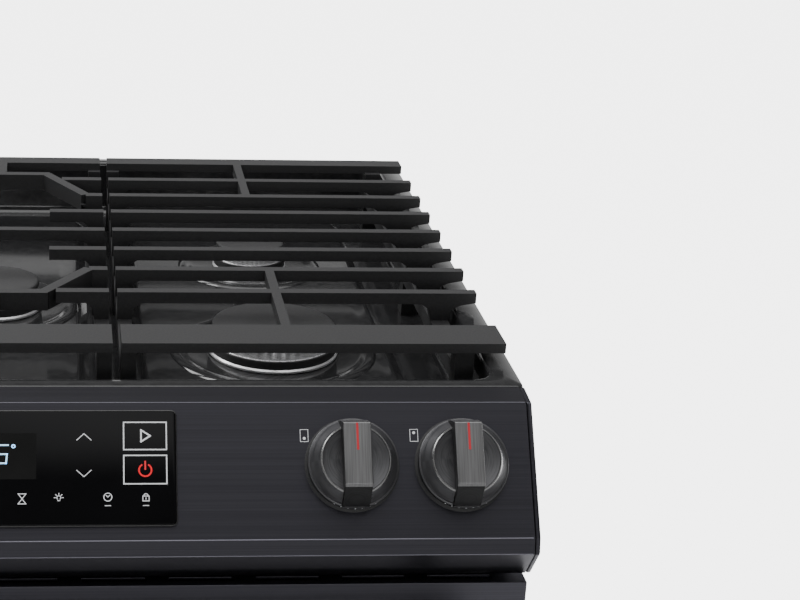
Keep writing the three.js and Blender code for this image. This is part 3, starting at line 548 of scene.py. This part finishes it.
def dress_cad_nodes():
    plan = {
        "panel": ["control_panel", "rear_vent_trim", "control_end_cap_left",
                  "control_end_cap_right"],
        "door": ["door_outer_panel", "drawer_front"],
        "sides": ["side_panel_left", "side_panel_right"],
        "iron": ["grate_left", "grate_centre", "grate_right"],
        "zinc": ["back_panel", "base_pan", "drawer_box", "fan_motor"],
        "oven": ["oven_cavity", "door_inner_panel", "fan_cover"],
        "door_glass": ["door_glass_outer", "door_glass_inner"],
        "steel": ["gas_manifold", "bake_burner", "broil_burner", "convection_fan",
                  "hinge_bracket_left", "hinge_bracket_right", "hinge_arm_left",
                  "hinge_arm_right"],
        "plastic": ["control_board"],
        "fibre": ["door_gasket"],
        "lamp": ["oven_lamp"],
    }
    edges = {"iron": FINGER_EDGE, "panel": FOLD_EDGE, "door": FOLD_EDGE,
             "door_glass": GLASS_EDGE, "fibre": FIBRE_EDGE, "steel": STEEL_EDGE}
    for material, nodes in plan.items():
        for node in nodes:
            dress(node, material, edges.get(material, SHEET_EDGE))
    for node in frame["nodes"]:
        if node.startswith("levelling_foot"):
            dress(node, "plastic")
        if node.startswith("valve_stem"):
            dress(node, "steel", STEEL_EDGE)


# ---- Cooktop ----

def make_cooktop():
    """The enamelled pan: skirt, rim and rounded well. Its raised stampings are separate pieces."""
    low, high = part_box("cooktop")
    outer = (low.x, high.x, low.y, high.y)
    side, front, back = WELL_INSETS
    well = (low.x + side, high.x - side, low.y + front, high.y - back)
    rim = high.z
    floor = low.z + SHEET
    skirt = rim - SKIRT_HEIGHT
    under_rim = rim - 2.2 * MM
    rows = [
        (grown(well, SHEET), 18 * MM, low.z), (grown(well, SHEET), 18 * MM, under_rim),
        (grown(outer, -SHEET), 2.5 * MM, under_rim), (grown(outer, -SHEET), 2.5 * MM, skirt),
        (outer, 4 * MM, skirt), (outer, 4 * MM, rim - 2 * MM),
        (grown(outer, -0.6 * MM), 4 * MM, rim - 0.6 * MM), (grown(outer, -2 * MM), 4 * MM, rim),
        (grown(well, RIM_FILLET), WELL_CORNER + 4.5 * MM, rim),
    ]
    for i in range(1, 5):
        angle = math.radians(90 * i / 4)
        corner = WELL_CORNER + 4.5 * MM - RIM_FILLET * math.sin(angle)
        rows.append((grown(well, RIM_FILLET * (1 - math.sin(angle))), corner,
                     rim - RIM_FILLET * (1 - math.cos(angle))))
    rows.append((grown(well, -2 * MM), WELL_CORNER, floor + FLOOR_FILLET))
    for i in range(1, 6):
        angle = math.radians(90 * i / 5)
        inset = 2 * MM + FLOOR_FILLET * (1 - math.cos(angle))
        rows.append((grown(well, -inset), WELL_CORNER,
                     floor + FLOOR_FILLET * (1 - math.sin(angle))))
    tool = bmesh.new()
    add_lofted(tool, rows)
    make_piece(tool, "cooktop_pan", "root", "enamel", replaces=["cooktop"])


def make_stampings():
    """The raised panels in the well, each with a soft edge."""
    low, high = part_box("cooktop")
    floor = low.z + SHEET
    top = floor + STAMPING_HEIGHT
    front, back = STAMPING_INSETS
    for name, (x0, x1) in STAMPINGS.items():
        edge = (x0 * MM, x1 * MM, low.y + front, high.y - back)
        tool = bmesh.new()
        add_lofted(tool, [
            (grown(edge, 9 * MM), 33 * MM, floor - 0.5 * MM),
            (grown(edge, 7 * MM), 31 * MM, floor + 0.4 * MM),
            (grown(edge, 3 * MM), 27 * MM, top - 1.2 * MM),
            (grown(edge, 0), 24 * MM, top - 0.1 * MM),
            (grown(edge, -2 * MM), 22 * MM, top)])
        make_piece(tool, f"cooktop_stamping_{name}", "root", "enamel")


def make_locators():
    """The posts under the gaps between the grates."""
    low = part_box("cooktop")[0]
    floor = low.z + SHEET
    front, back = LOCATOR_INSETS
    tool = bmesh.new()
    for sign in (-1, 1):
        x0, x1 = sorted(sign * x * MM for x in LOCATOR_X)
        post = (x0, x1, low.y + front, low.y + back)
        add_lofted(tool, [
            (post, 3 * MM, floor - 0.5 * MM), (post, 3 * MM, floor + LOCATOR_HEIGHT - 2 * MM),
            (grown(post, -1 * MM), 2 * MM, floor + LOCATOR_HEIGHT)])
    make_piece(tool, "cooktop_locators", "root", "enamel")


# ---- Burners ----

def burner_centre(name):
    """The middle of a burner's cap, and the cap's radius."""
    low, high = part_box(f"burner_cap_{name}")
    return (low + high) / 2, (high.x - low.x) / 2


def make_burner_body(name):
    """The silver head on its base ring, with a black band between them and ports round its side."""
    centre, radius = burner_centre(name)
    low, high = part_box(f"burner_head_{name}")
    seat = low.z + THROAT_DEPTH
    throat = [(0, low.z), (THROAT_RADIUS, low.z), (THROAT_RADIUS, seat)]
    side = [(radius + past * MM, seat + rise * MM) for past, rise in (
        (1.8, 0), (2.6, 0.8), (2.6, 2.2), (1.4, 3.4), (1.5, 3.6), (1.5, 9.6), (0.2, 10.0),
        (-1.0, 10.2))]
    crown = [(radius - 2.6 * MM, high.z - 1 * MM), (radius - 3.0 * MM, high.z), (0, high.z)]
    ports_start = len(throat) + len(side) - 2

    def port_grooves(i, row):
        in_ports = ports_start <= row <= ports_start + 1
        return 0.985 if in_ports and i % 4 == 0 else 1.0

    silver_then_black = [0] * 6 + [1] * 3 + [0] * 6
    tool = bmesh.new()
    add_turned(tool, [*throat, *side, *crown], BURNER_PORTS * 2, (centre.x, centre.y, 0),
               silver_then_black, port_grooves)
    make_piece(tool, f"burner_body_{name}", "root", ["burner", "burner_ring"],
               replaces=[f"burner_head_{name}"])


def make_burner_lid(name):
    """The enamelled cap: flat on top, with a rounded edge."""
    centre, radius = burner_centre(name)
    low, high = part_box(f"burner_cap_{name}")
    height = high.z - low.z
    profile = [(0, 0), (radius - 4 * MM, 0), (radius - 3.4 * MM, 0.6 * MM),
               (radius - 0.5 * MM, 0.7 * MM), (radius, 1.3 * MM)]
    for i in range(1, 6):
        angle = math.radians(90 * i / 5)
        profile.append((radius - LID_ROUNDING * (1 - math.cos(angle)),
                        height - LID_ROUNDING * (1 - math.sin(angle))))
    profile += [(radius * 0.7, height), (0, height)]
    tool = bmesh.new()
    add_turned(tool, profile, 96, (centre.x, centre.y, low.z))
    make_piece(tool, f"burner_lid_{name}", "root", "cap",
               replaces=[f"burner_cap_{name}"])


def make_burner_bowl(name):
    """The round step stamped into the cooktop round a burner."""
    centre, radius = burner_centre(name)
    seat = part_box(f"burner_head_{name}")[0].z + THROAT_DEPTH
    bowl = radius / MM + BOWL_REACH
    steps = ((0, -0.8), (bowl, -0.8), (bowl - 1.2, 0.6), (bowl - 3.2, 1.7), (bowl - 6, 2.1),
             (bowl - 9, 1.8), (bowl - 12, 0.9), (bowl - 15, 0.3), (radius / MM - 6, 0.1), (0, 0.1))
    tool = bmesh.new()
    add_turned(tool, [(r * MM, z * MM) for r, z in steps], 96,
               (centre.x, centre.y, seat - 0.3 * MM))
    make_piece(tool, f"burner_bowl_{name}", "root", "enamel")


def make_igniter(name):
    """The ceramic post with a thin tip that stands beside a burner."""
    centre, radius = burner_centre(name)
    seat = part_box(f"burner_head_{name}")[0].z + THROAT_DEPTH
    reach = radius + IGNITER_GAP
    at = (centre.x + reach * math.cos(IGNITER_ANGLE), centre.y + reach * math.sin(IGNITER_ANGLE),
          seat)
    tool = bmesh.new()
    add_turned(tool, [(0, 0), (2.4 * MM, 0), (2.4 * MM, 11 * MM), (1.6 * MM, 12.5 * MM),
                      (0.7 * MM, 12.7 * MM), (0.7 * MM, 16 * MM), (0, 16 * MM)], 20, at)
    make_piece(tool, f"igniter_{name}", "root", "ceramic")


# ---- Control panel ----

def face_matrix(x):
    """A frame on the slanted face, level with the knobs: X along the range, Y up the slope."""
    joint = next(j for j in frame["joints"] if j["name"] == "turn_right")
    out = Vector(joint["axis"]).normalized()
    across = Vector((1, 0, 0))
    up = out.cross(across)
    place = Matrix((across, up, out)).transposed().to_4x4()
    place.translation = Vector((x, joint["pos_m"][1], joint["pos_m"][2]))
    return place


def make_knob(name, x):
    """A knob: its skirt, grip, pointer and ticks turn together, and a black ring painted as its shadow
    stays on the panel.
    """
    place = face_matrix(x)
    make_knob_skirt(name, place)
    make_knob_grip(name, place)
    make_knob_pointer(name, place)
    make_knob_ticks(name, place)
    make_knob_shadow_ring(name, place)


def make_knob_skirt(name, place):
    """The foot band in painted shade, the sloping skirt, the ring with its painted highlight and the
    round plateau inside it.
    """
    lift = KNOB_LIFT / MM
    profile = [
        (0, lift), (30.4, lift), (31.2, lift + 0.8), (31.2, lift + 3.9), (30.8, lift + 4.4),
        (30.1, lift + 4.6), (24.3, 18.7), (23.9, 19.3), (23.5, 19.7), (22.9, 19.7), (22.6, 19.3),
        (22.4, 19.2), (0, 19.4)]
    # index 3 puts the painted shade on the foot band; index 2 puts the painted highlight on the lip
    # round the plateau
    foot_to_plateau = [3] * 3 + [0] * 3 + [2] * 3 + [1] * 3
    tool = bmesh.new()
    add_turned(tool, [(r * MM, z * MM) for r, z in profile], 128, materials=foot_to_plateau)
    make_piece(tool, f"knob_skirt_{name}", f"knob_{name}",
               ["skirt", "plateau", "knob_ring", "painted_shade"], place, [f"knob_{name}"])


def make_knob_grip(name, place):
    """The bar across the knob: a level bright top, with its sides and sloping lower end in painted
    shade.
    """
    half = KNOB_GRIP_WIDTH / 2
    top = KNOB_GRIP_TOP / MM
    side = [(-20.4, 27.2), (-18.6, top), (23.4, top), (27.6, 17.0), (29.6, 8.2), (29.6, 6.0),
            (-30.9, 6.0), (-30.9, 8.0), (-30.4, 9.8)]
    tool = bmesh.new()
    left = [tool.verts.new((-half, y * MM, z * MM)) for y, z in side]
    right = [tool.verts.new((half, y * MM, z * MM)) for y, z in side]
    bridge(tool, left, right)
    tool.faces.ensure_lookup_table()
    # the two sides and the faces of the lower end take the painted shade
    dark = [tool.faces.new(left), tool.faces.new(list(reversed(right))), *tool.faces[-3:]]
    for face in dark:
        face.material_index = 1
    grip = make_piece(tool, f"knob_grip_{name}", f"knob_{name}", ["grip", "painted_shade"],
                      place)
    round_edges(grip, 0.7 * MM, 3)


def make_knob_pointer(name, place):
    top = KNOB_GRIP_TOP / MM
    tool = bmesh.new()
    add_box(tool, (-0.75 * MM, 4.5 * MM, (top - 0.3) * MM),
            (0.75 * MM, 23.0 * MM, (top + 0.12) * MM))
    make_piece(tool, f"knob_pointer_{name}", f"knob_{name}", "pointer", place)


def make_knob_ticks(name, place):
    """Seven short printed marks with a painted glow round the foot of the skirt, below the grip."""
    tool = bmesh.new()
    for step in range(-3, 4):
        angle = math.radians(-90 + TICK_STEP * step)
        mark = Matrix.Rotation(angle, 4, "Z") @ Matrix.Translation((30.75 * MM, 0, 6.0 * MM))
        size = 1.2 * MM if step % 2 else 2.0 * MM
        start = len(tool.verts)
        add_box(tool, (-0.3 * MM, -0.22 * MM, -size / 2), (0.55 * MM, 0.22 * MM, size / 2))
        tool.verts.ensure_lookup_table()
        bmesh.ops.transform(tool, matrix=mark, verts=tool.verts[start:])
    make_piece(tool, f"knob_ticks_{name}", f"knob_{name}", "white_ink", place)


def make_knob_shadow_ring(name, place):
    """A thin black ring on the panel under the knob: a painted shadow of the knob and the gap beneath
    it.
    """
    # black plastic standing in for the shadow under the knob
    profile = ((0, 0.05), (32.7, 0.05), (32.7, 0.2), (32.4, 0.35), (0, 0.35))
    tool = bmesh.new()
    add_turned(tool, [(r * MM, z * MM) for r, z in profile], 96)
    make_piece(tool, f"knob_shadow_ring_{name}", "root", "plastic", place)


# ---- Printed marks ----

def add_stroke(tool, points, width, z, closed=False):
    """A flat printed line through [x, y] points, in millimetres, laid at height z."""
    count = len(points)
    for i in range(count if closed else count - 1):
        a, b = Vector(points[i]), Vector(points[(i + 1) % count])
        along = (b - a).normalized() * width / 2
        side = Vector((-along.y, along.x))
        outline = [a - along - side, b + along - side, b + along + side, a - along + side]
        add_prism(tool, [(p.x * MM, p.y * MM) for p in outline], z, z + INK)


def arc(cx, cy, radius, start=0, end=360, steps=20):
    """Points along an arc, from start to end in degrees."""
    return [(cx + radius * math.cos(math.radians(start + (end - start) * i / steps)),
             cy + radius * math.sin(math.radians(start + (end - start) * i / steps)))
            for i in range(steps + 1)]


def box_points(x0, x1, y0, y1):
    return [(x0, y0), (x1, y0), (x1, y1), (x0, y1)]


def add_digit(tool, digit, x, y, width, height, z):
    """A seven-segment digit with its lower left corner at x, y."""
    ends = {
        "a": ((0, 1), (1, 1)), "b": ((1, 1), (1, 0.5)), "c": ((1, 0.5), (1, 0)),
        "d": ((0, 0), (1, 0)), "e": ((0, 0), (0, 0.5)), "f": ((0, 0.5), (0, 1)),
        "g": ((0, 0.5), (1, 0.5))}
    for segment in SEGMENTS[digit]:
        line = [(x + ex * width + DIGIT_SLANT * ey * height, y + ey * height)
                for ex, ey in ends[segment]]
        add_stroke(tool, line, 1.05, z)


def lamp_icon(x, y):
    angles = [math.radians(degrees) for degrees in (0, 45, 90, 135, 180)]
    rays = [[(x + r * math.cos(a), y + r * math.sin(a)) for r in (2.2, 3.0)] for a in angles]
    return [arc(x, y, 1.3, -50, 230), [(x - 0.7, y - 2.0), (x + 0.7, y - 2.0)], *rays]


def clock_icon(x, y):
    return [arc(x, y, 2.7), [(x - 1.2, y + 1.1), (x, y), (x + 1.2, y + 1.1)]]


def lock_icon(x, y):
    return [box_points(x - 2.1, x + 2.1, y - 2.7, y + 0.6) + [(x - 2.1, y - 2.7)],
            arc(x, y + 0.8, 1.4, 0, 180), [(x, y - 1.5), (x, y - 0.6)]]


def timer_icon(x, y):
    return [[(x - 2.6, y + 3.4), (x + 2.6, y + 3.4), (x - 2.6, y - 3.4), (x + 2.6, y - 3.4),
             (x - 2.6, y + 3.4)]]


def oven_icon(x, y, bars):
    lines = [box_points(x - 3.6, x + 3.6, y - 3.2, y + 3.2) + [(x - 3.6, y - 3.2)]]
    return lines + [[(x - 2, y + bar), (x + 2, y + bar)] for bar in bars]


def make_touch_panel():
    """The black glass with its border, display window, digits and key marks."""
    place = face_matrix(0)
    inside = place.inverted()
    node = frame["nodes"]["touch_panel"]
    corners = [inside @ v.co for v in node.data.vertices]
    x0, x1 = min(c.x for c in corners), max(c.x for c in corners)
    y0, y1 = min(c.y for c in corners), max(c.y for c in corners)
    base, top = min(c.z for c in corners), max(c.z for c in corners)
    edge = (x0, x1, y0, y1)
    tool = bmesh.new()
    add_lofted(tool, [(edge, 3 * MM, base), (edge, 3 * MM, top - 0.5 * MM),
                      (grown(edge, -0.15 * MM), 2.9 * MM, top - 0.15 * MM),
                      (grown(edge, -0.5 * MM), 2.6 * MM, top)])
    make_piece(tool, "touch_glass", "root", "glass", place, ["touch_panel"])
    tool = bmesh.new()
    add_lofted(tool, [(grown(edge, 0.9 * MM), 3.9 * MM, 0.1 * MM),
                      (grown(edge, 0.9 * MM), 3.9 * MM, top - 0.4 * MM),
                      (grown(edge, 0.2 * MM), 3.2 * MM, top - 0.1 * MM),
                      (grown(edge, 0.1 * MM), 3.1 * MM, 0.1 * MM)], False, False)
    make_piece(tool, "touch_glass_border", "root", "border", place)
    tool = bmesh.new()
    add_prism(tool, [(x * MM, y * MM) for x, y in box_points(-84, 37.4, -9.2, 22.4)],
              top + 0.02 * MM, top + 0.06 * MM)
    make_piece(tool, "display_window", "root", "display", place)
    make_display(place, top + 0.08 * MM)
    make_key_marks(place, top + 0.02 * MM)


def make_display(place, z):
    """A time and a temperature in lit digits."""
    tool = bmesh.new()
    for digit, x in DISPLAY_DIGITS:
        add_digit(tool, digit, x, 1.8, 6.6, 12.4, z)
    add_stroke(tool, arc(22.0, 13.4, 1.0, steps=12), 0.7, z)
    for y in (5.4, 10.4):
        add_stroke(tool, [(-57.6, y), (-57.1, y)], 1.0, z)
    make_piece(tool, "display_digits", "root", "blue_light", place)


def make_key_marks(place, z):
    """Plain icons for the keys, in print with a painted glow. Two keys have a frame, and the lower
    one's icon is red.
    """
    thin = bmesh.new()
    lines = [
        [(64.6, 17.6), (69.4, 22.0), (74.2, 17.6)],
        [(64.6, -3.2), (69.4, -7.6), (74.2, -3.2)],
        *timer_icon(28.1, -22.5), *lamp_icon(52.6, -21.8), *clock_icon(85.4, -21.6),
        *lock_icon(111.0, -21.6), [(83.6, -27.4), (87.2, -27.4)], [(109.2, -27.4), (112.8, -27.4)],
        *oven_icon(-104, 18, (-1.6,)), *oven_icon(-104, 4, (1.6,)), *oven_icon(-104, -10, (-1.6, 1.6)),
        *clock_icon(-104, -24), *timer_icon(-70, -24), *oven_icon(-38, -24, (0,)),
        *lamp_icon(-5, -23.5),
    ]
    for line in lines:
        add_stroke(thin, line, 0.55, z)
    for y0, y1 in ((10.9, 29.8), (-12.6, 6.9)):
        add_stroke(thin, box_points(96.2, 125.2, y0, y1), 0.85, z, True)
    add_stroke(thin, [(108.0, 24.4), (114.2, 20.4), (108.0, 16.4)], 1.1, z, True)
    make_piece(thin, "key_marks", "root", "white_ink", place)
    red = bmesh.new()
    add_stroke(red, arc(110.7, -3.2, 4.2, 125, 415, 24), 1.1, z)
    add_stroke(red, [(110.7, 2.6), (110.7, -2.6)], 1.1, z)
    make_piece(red, "off_key_mark", "root", "red_ink", place)


def make_burner_marks():
    """Beside each knob, a small plan of the cooktop with a dot where that burner is."""
    place = face_matrix(0)
    tool = bmesh.new()
    z = 0.06 * MM
    dots = {"far_left": -1, "left": 1, "inner_left": 0, "right": -1, "far_right": 1}
    for name, level in dots.items():
        joint = next(j for j in frame["joints"] if j["name"] == f"turn_{name}")
        x = joint["pos_m"][0] / MM + MARK_PLACE[0]
        y = MARK_PLACE[1]
        add_stroke(tool, box_points(x - 2.7, x + 2.7, y - 4.2, y + 4.2), 0.36, z, True)
        dot = [(px * MM, py * MM) for px, py in arc(x, y + 1.9 * level, 1.0, 0, 345, 23)]
        add_prism(tool, dot, z, z + INK)
    make_piece(tool, "burner_marks", "root", "white_ink", place)


def make_fold_highlights():
    """Rods of a lighter copy of the black stainless along the control panel's folds: a painted
    highlight where the edges catch light.
    """
    low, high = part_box("control_panel")
    tool = bmesh.new()
    for y, z in PANEL_FOLDS:
        add_rod(tool, (low.x + 1 * MM, y * MM, z * MM), (high.x - 1 * MM, y * MM, z * MM),
                FOLD_HIGHLIGHT_RADIUS, 10)
    make_piece(tool, "panel_fold_highlights", "root", "edge")


# ---- Oven parts that show ----

def make_rack(node, body):
    """An oven rack of round wires: a frame, a brace across its middle and thin wires over them."""
    low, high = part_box(node)
    middle = (low.z + high.z) / 2
    x0, x1 = low.x + FRAME_WIRE, high.x - FRAME_WIRE
    y0, y1 = low.y + FRAME_WIRE, high.y - FRAME_WIRE
    tool = bmesh.new()
    for start, end in (((x0, y0), (x1, y0)), ((x1, y0), (x1, y1)), ((x1, y1), (x0, y1)),
                       ((x0, y1), (x0, y0)), ((x0, RACK_BRACE_Y), (x1, RACK_BRACE_Y))):
        add_rod(tool, (*start, middle), (*end, middle), FRAME_WIRE)
    for i in range(1, RACK_GAPS):
        x = x0 + (x1 - x0) * i / RACK_GAPS
        add_rod(tool, (x, y0, middle + 0.6 * MM), (x, y1, middle + 0.6 * MM), CROSS_WIRE)
    make_piece(tool, f"{node}_wires", body, "chrome", replaces=[node])


def make_handle_bar():
    """The door handle's bar: a squarish oval section with rounded ends."""
    low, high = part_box("door_handle")
    half_depth, half_height = HANDLE_DEPTH / 2, (high.z - low.z) / 2
    centre_y, centre_z = low.y + half_depth, (low.z + high.z) / 2
    tool = bmesh.new()
    rings = []
    for x, inset in ((low.x, 3 * MM), (low.x + 0.9 * MM, 0.9 * MM), (low.x + 3 * MM, 0),
                     (high.x - 3 * MM, 0), (high.x - 0.9 * MM, 0.9 * MM), (high.x, 3 * MM)):
        ring = []
        for i in range(HANDLE_SIDES):
            angle = 2 * math.pi * i / HANDLE_SIDES
            c, s = math.cos(angle), math.sin(angle)
            across = math.copysign(abs(c) ** HANDLE_SQUARENESS, c)
            up = math.copysign(abs(s) ** HANDLE_SQUARENESS, s)
            ring.append(tool.verts.new((
                x, centre_y + (half_depth - inset) * across,
                centre_z + (half_height - inset) * up)))
        rings.append(ring)
    for before, after in zip(rings, rings[1:]):
        bridge(tool, before, after)
    tool.faces.new(list(reversed(rings[0])))
    tool.faces.new(rings[-1])
    make_piece(tool, "handle_bar", "oven_door", "panel",
               replaces=["door_handle"])


def make_handle_posts():
    """The two posts that hold the handle, a little wider where they meet the door."""
    low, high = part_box("door_handle")
    centre_z = (low.z + high.z) / 2
    tool = bmesh.new()
    for sign in (-1, 1):
        x = sign * POST_X
        rows = []
        for y, half in ((high.y, 12.0), (high.y - 3 * MM, 10.5), (high.y - 12 * MM, 9.0),
                        (low.y + HANDLE_DEPTH - 2 * MM, 9.0)):
            ring = []
            for i in range(POST_SIDES):
                angle = 2 * math.pi * i / POST_SIDES
                ring.append(tool.verts.new((
                    x + half * MM * math.cos(angle), y,
                    centre_z + 0.85 * half * MM * math.sin(angle))))
            rows.append(ring)
        for before, after in zip(rows, rows[1:]):
            bridge(tool, before, after)
        tool.faces.new(rows[0])
        tool.faces.new(list(reversed(rows[-1])))
    make_piece(tool, "handle_posts", "oven_door", "panel")


def make_back_ribs():
    """Upright stiffening ribs and three rows of louvres pressed out of the back panel."""
    low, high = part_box("back_panel")
    tool = bmesh.new()
    turn = Matrix.Translation((0, high.y, 0)) @ Matrix.Rotation(math.radians(-90), 4, "X")
    for x in RIB_X:
        rib = (x - RIB_HALF, x + RIB_HALF, -high.z + RIB_INSETS[1], -low.z - RIB_INSETS[0])
        add_lofted(tool, [(rib, 12 * MM, 0.0), (grown(rib, -2 * MM), 10 * MM, 1.6 * MM),
                          (grown(rib, -4 * MM), 8 * MM, 2.2 * MM)], close_start=False)
    half_width, half_height = LOUVRE_HALF
    for x in LOUVRE_X:
        for drop in LOUVRE_DROPS:
            y = drop - high.z
            slot = (x - half_width, x + half_width, y - half_height, y + half_height)
            add_lofted(tool, [(slot, 5 * MM, 0.0), (grown(slot, -1 * MM), 4 * MM, 1.6 * MM),
                              (grown(slot, -3 * MM), 2.5 * MM, 2.4 * MM)], close_start=False)
    bmesh.ops.transform(tool, matrix=turn, verts=tool.verts)
    make_piece(tool, "back_panel_pressings", "root", "zinc")


def make_back_screws():
    """Round-headed screws along the top, the bottom and the sides of the back panel."""
    low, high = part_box("back_panel")
    tool = bmesh.new()
    turn = Matrix.Rotation(math.radians(-90), 4, "X")
    places = [(x, z) for x in SCREW_X for z in (low.z + SCREW_INSET, high.z - SCREW_INSET)]
    places += [(x, MIDDLE_SCREW_Z) for x in (SCREW_X[0], SCREW_X[-1])]
    for x, z in places:
        start = len(tool.verts)
        add_turned(tool, [(0, 0), (5 * MM, 0), (5 * MM, 0.6 * MM), (3.6 * MM, 1.6 * MM),
                          (0, 1.8 * MM)], 20)
        tool.verts.ensure_lookup_table()
        bmesh.ops.transform(tool, matrix=Matrix.Translation((x, high.y, z)) @ turn,
                            verts=tool.verts[start:])
    make_piece(tool, "back_panel_screws", "root", "steel")


# ---- Studio ----

def make_floor():
    """A wide pale floor that glows behind the range, as a lit studio sweep does."""
    tool = bmesh.new()
    corners = [tool.verts.new((x * FLOOR_HALF, y * FLOOR_HALF, 0))
               for x, y in ((-1, -1), (1, -1), (1, 1), (-1, 1))]
    tool.faces.new(corners)
    mesh = bpy.data.meshes.new("floor")
    tool.to_mesh(mesh)
    tool.free()
    material, shader = new_material("studio_floor", (0.65, 0.65, 0.65), 0.8)
    shader.inputs["Emission Color"].default_value = (1.0, 1.0, 1.0, 1.0)
    glow = along_axis(material.node_tree, "Object", "Y", FLOOR_GLOW_EDGE, (0.0, FLOOR_GLOW))
    material.node_tree.links.new(glow, shader.inputs["Emission Strength"])
    mesh.materials.append(material)
    floor = bpy.data.objects.new("floor", mesh)
    bpy.context.scene.collection.objects.link(floor)


def make_light(name, place, aim, size, power):
    data = bpy.data.lights.new(name, "AREA")
    data.shape = "RECTANGLE"
    data.size, data.size_y = size
    data.energy = power
    light = bpy.data.objects.new(name, data)
    light.location = place
    light.rotation_euler = (Vector(aim) - Vector(place)).to_track_quat("-Z", "Y").to_euler()
    bpy.context.scene.collection.objects.link(light)


def along_axis(tree, coordinates, axis, span, values):
    """A number that goes smoothly from values[0] to values[1] over a span of one axis."""
    place = tree.nodes.new("ShaderNodeTexCoord")
    split = tree.nodes.new("ShaderNodeSeparateXYZ")
    spread = tree.nodes.new("ShaderNodeMapRange")
    spread.interpolation_type = "SMOOTHSTEP"
    spread.inputs["From Min"].default_value, spread.inputs["From Max"].default_value = span
    spread.inputs["To Min"].default_value, spread.inputs["To Max"].default_value = values
    tree.links.new(place.outputs[coordinates], split.inputs[0])
    tree.links.new(split.outputs[axis], spread.inputs["Value"])
    return spread.outputs["Result"]


def make_studio():
    """A soft ceiling over dim walls, with a lit foot to the back wall, and two area lights."""
    world = bpy.data.worlds.new("studio")
    world.use_nodes = True
    background = world.node_tree.nodes["Background"]
    background.inputs["Color"].default_value = (1.0, 1.0, 1.0, 1.0)
    tree = world.node_tree
    horizon = along_axis(tree, "Generated", "Z", HORIZON_EDGE, (HORIZON_LIGHT, 0.0))
    behind = along_axis(tree, "Generated", "Y", BACK_EDGE, (0.1, 1.0))
    ceiling = along_axis(tree, "Generated", "Z", CEILING_EDGE, (WALL_LIGHT, CEILING_LIGHT))
    total = tree.nodes.new("ShaderNodeMath")
    total.operation = "MULTIPLY_ADD"
    for i, part in enumerate((horizon, behind, ceiling)):
        tree.links.new(part, total.inputs[i])
    tree.links.new(total.outputs[0], background.inputs["Strength"])
    bpy.context.scene.world = world
    make_floor()
    make_light("key_light", **KEY_LIGHT)
    make_light("front_light", **FRONT_LIGHT)


def make_camera():
    """A long lens in front of the range, looking down on its right side."""
    data = bpy.data.cameras.new("camera")
    data.sensor_width = 36.0
    data.lens = CAMERA_LENS
    data.shift_x, data.shift_y = CAMERA_SHIFT
    camera = bpy.data.objects.new("camera", data)
    turn = Matrix.Rotation(math.radians(-CAMERA_RIGHT), 4, "Z")
    tilt = Matrix.Rotation(math.radians(90 - CAMERA_DOWN), 4, "X")
    roll = Matrix.Rotation(math.radians(CAMERA_ROLL), 4, "Z")
    camera.matrix_world = Matrix.Translation(CAMERA_PLACE) @ turn @ tilt @ roll
    bpy.context.scene.collection.objects.link(camera)
    bpy.context.scene.camera = camera


make_camera()
make_studio()
dress_cad_nodes()
make_cooktop()
make_stampings()
make_locators()
for burner in BURNERS:
    make_burner_body(burner)
    make_burner_lid(burner)
    make_burner_bowl(burner)
    make_igniter(burner)
for joint in frame["joints"]:
    if joint["name"].startswith("turn_"):
        make_knob(joint["name"].removeprefix("turn_"), joint["pos_m"][0])
make_touch_panel()
make_burner_marks()
make_fold_highlights()
make_rack("oven_rack_lower", "rack_lower")
make_rack("oven_rack_upper", "rack_upper")
make_handle_bar()
make_handle_posts()
make_back_ribs()
make_back_screws()
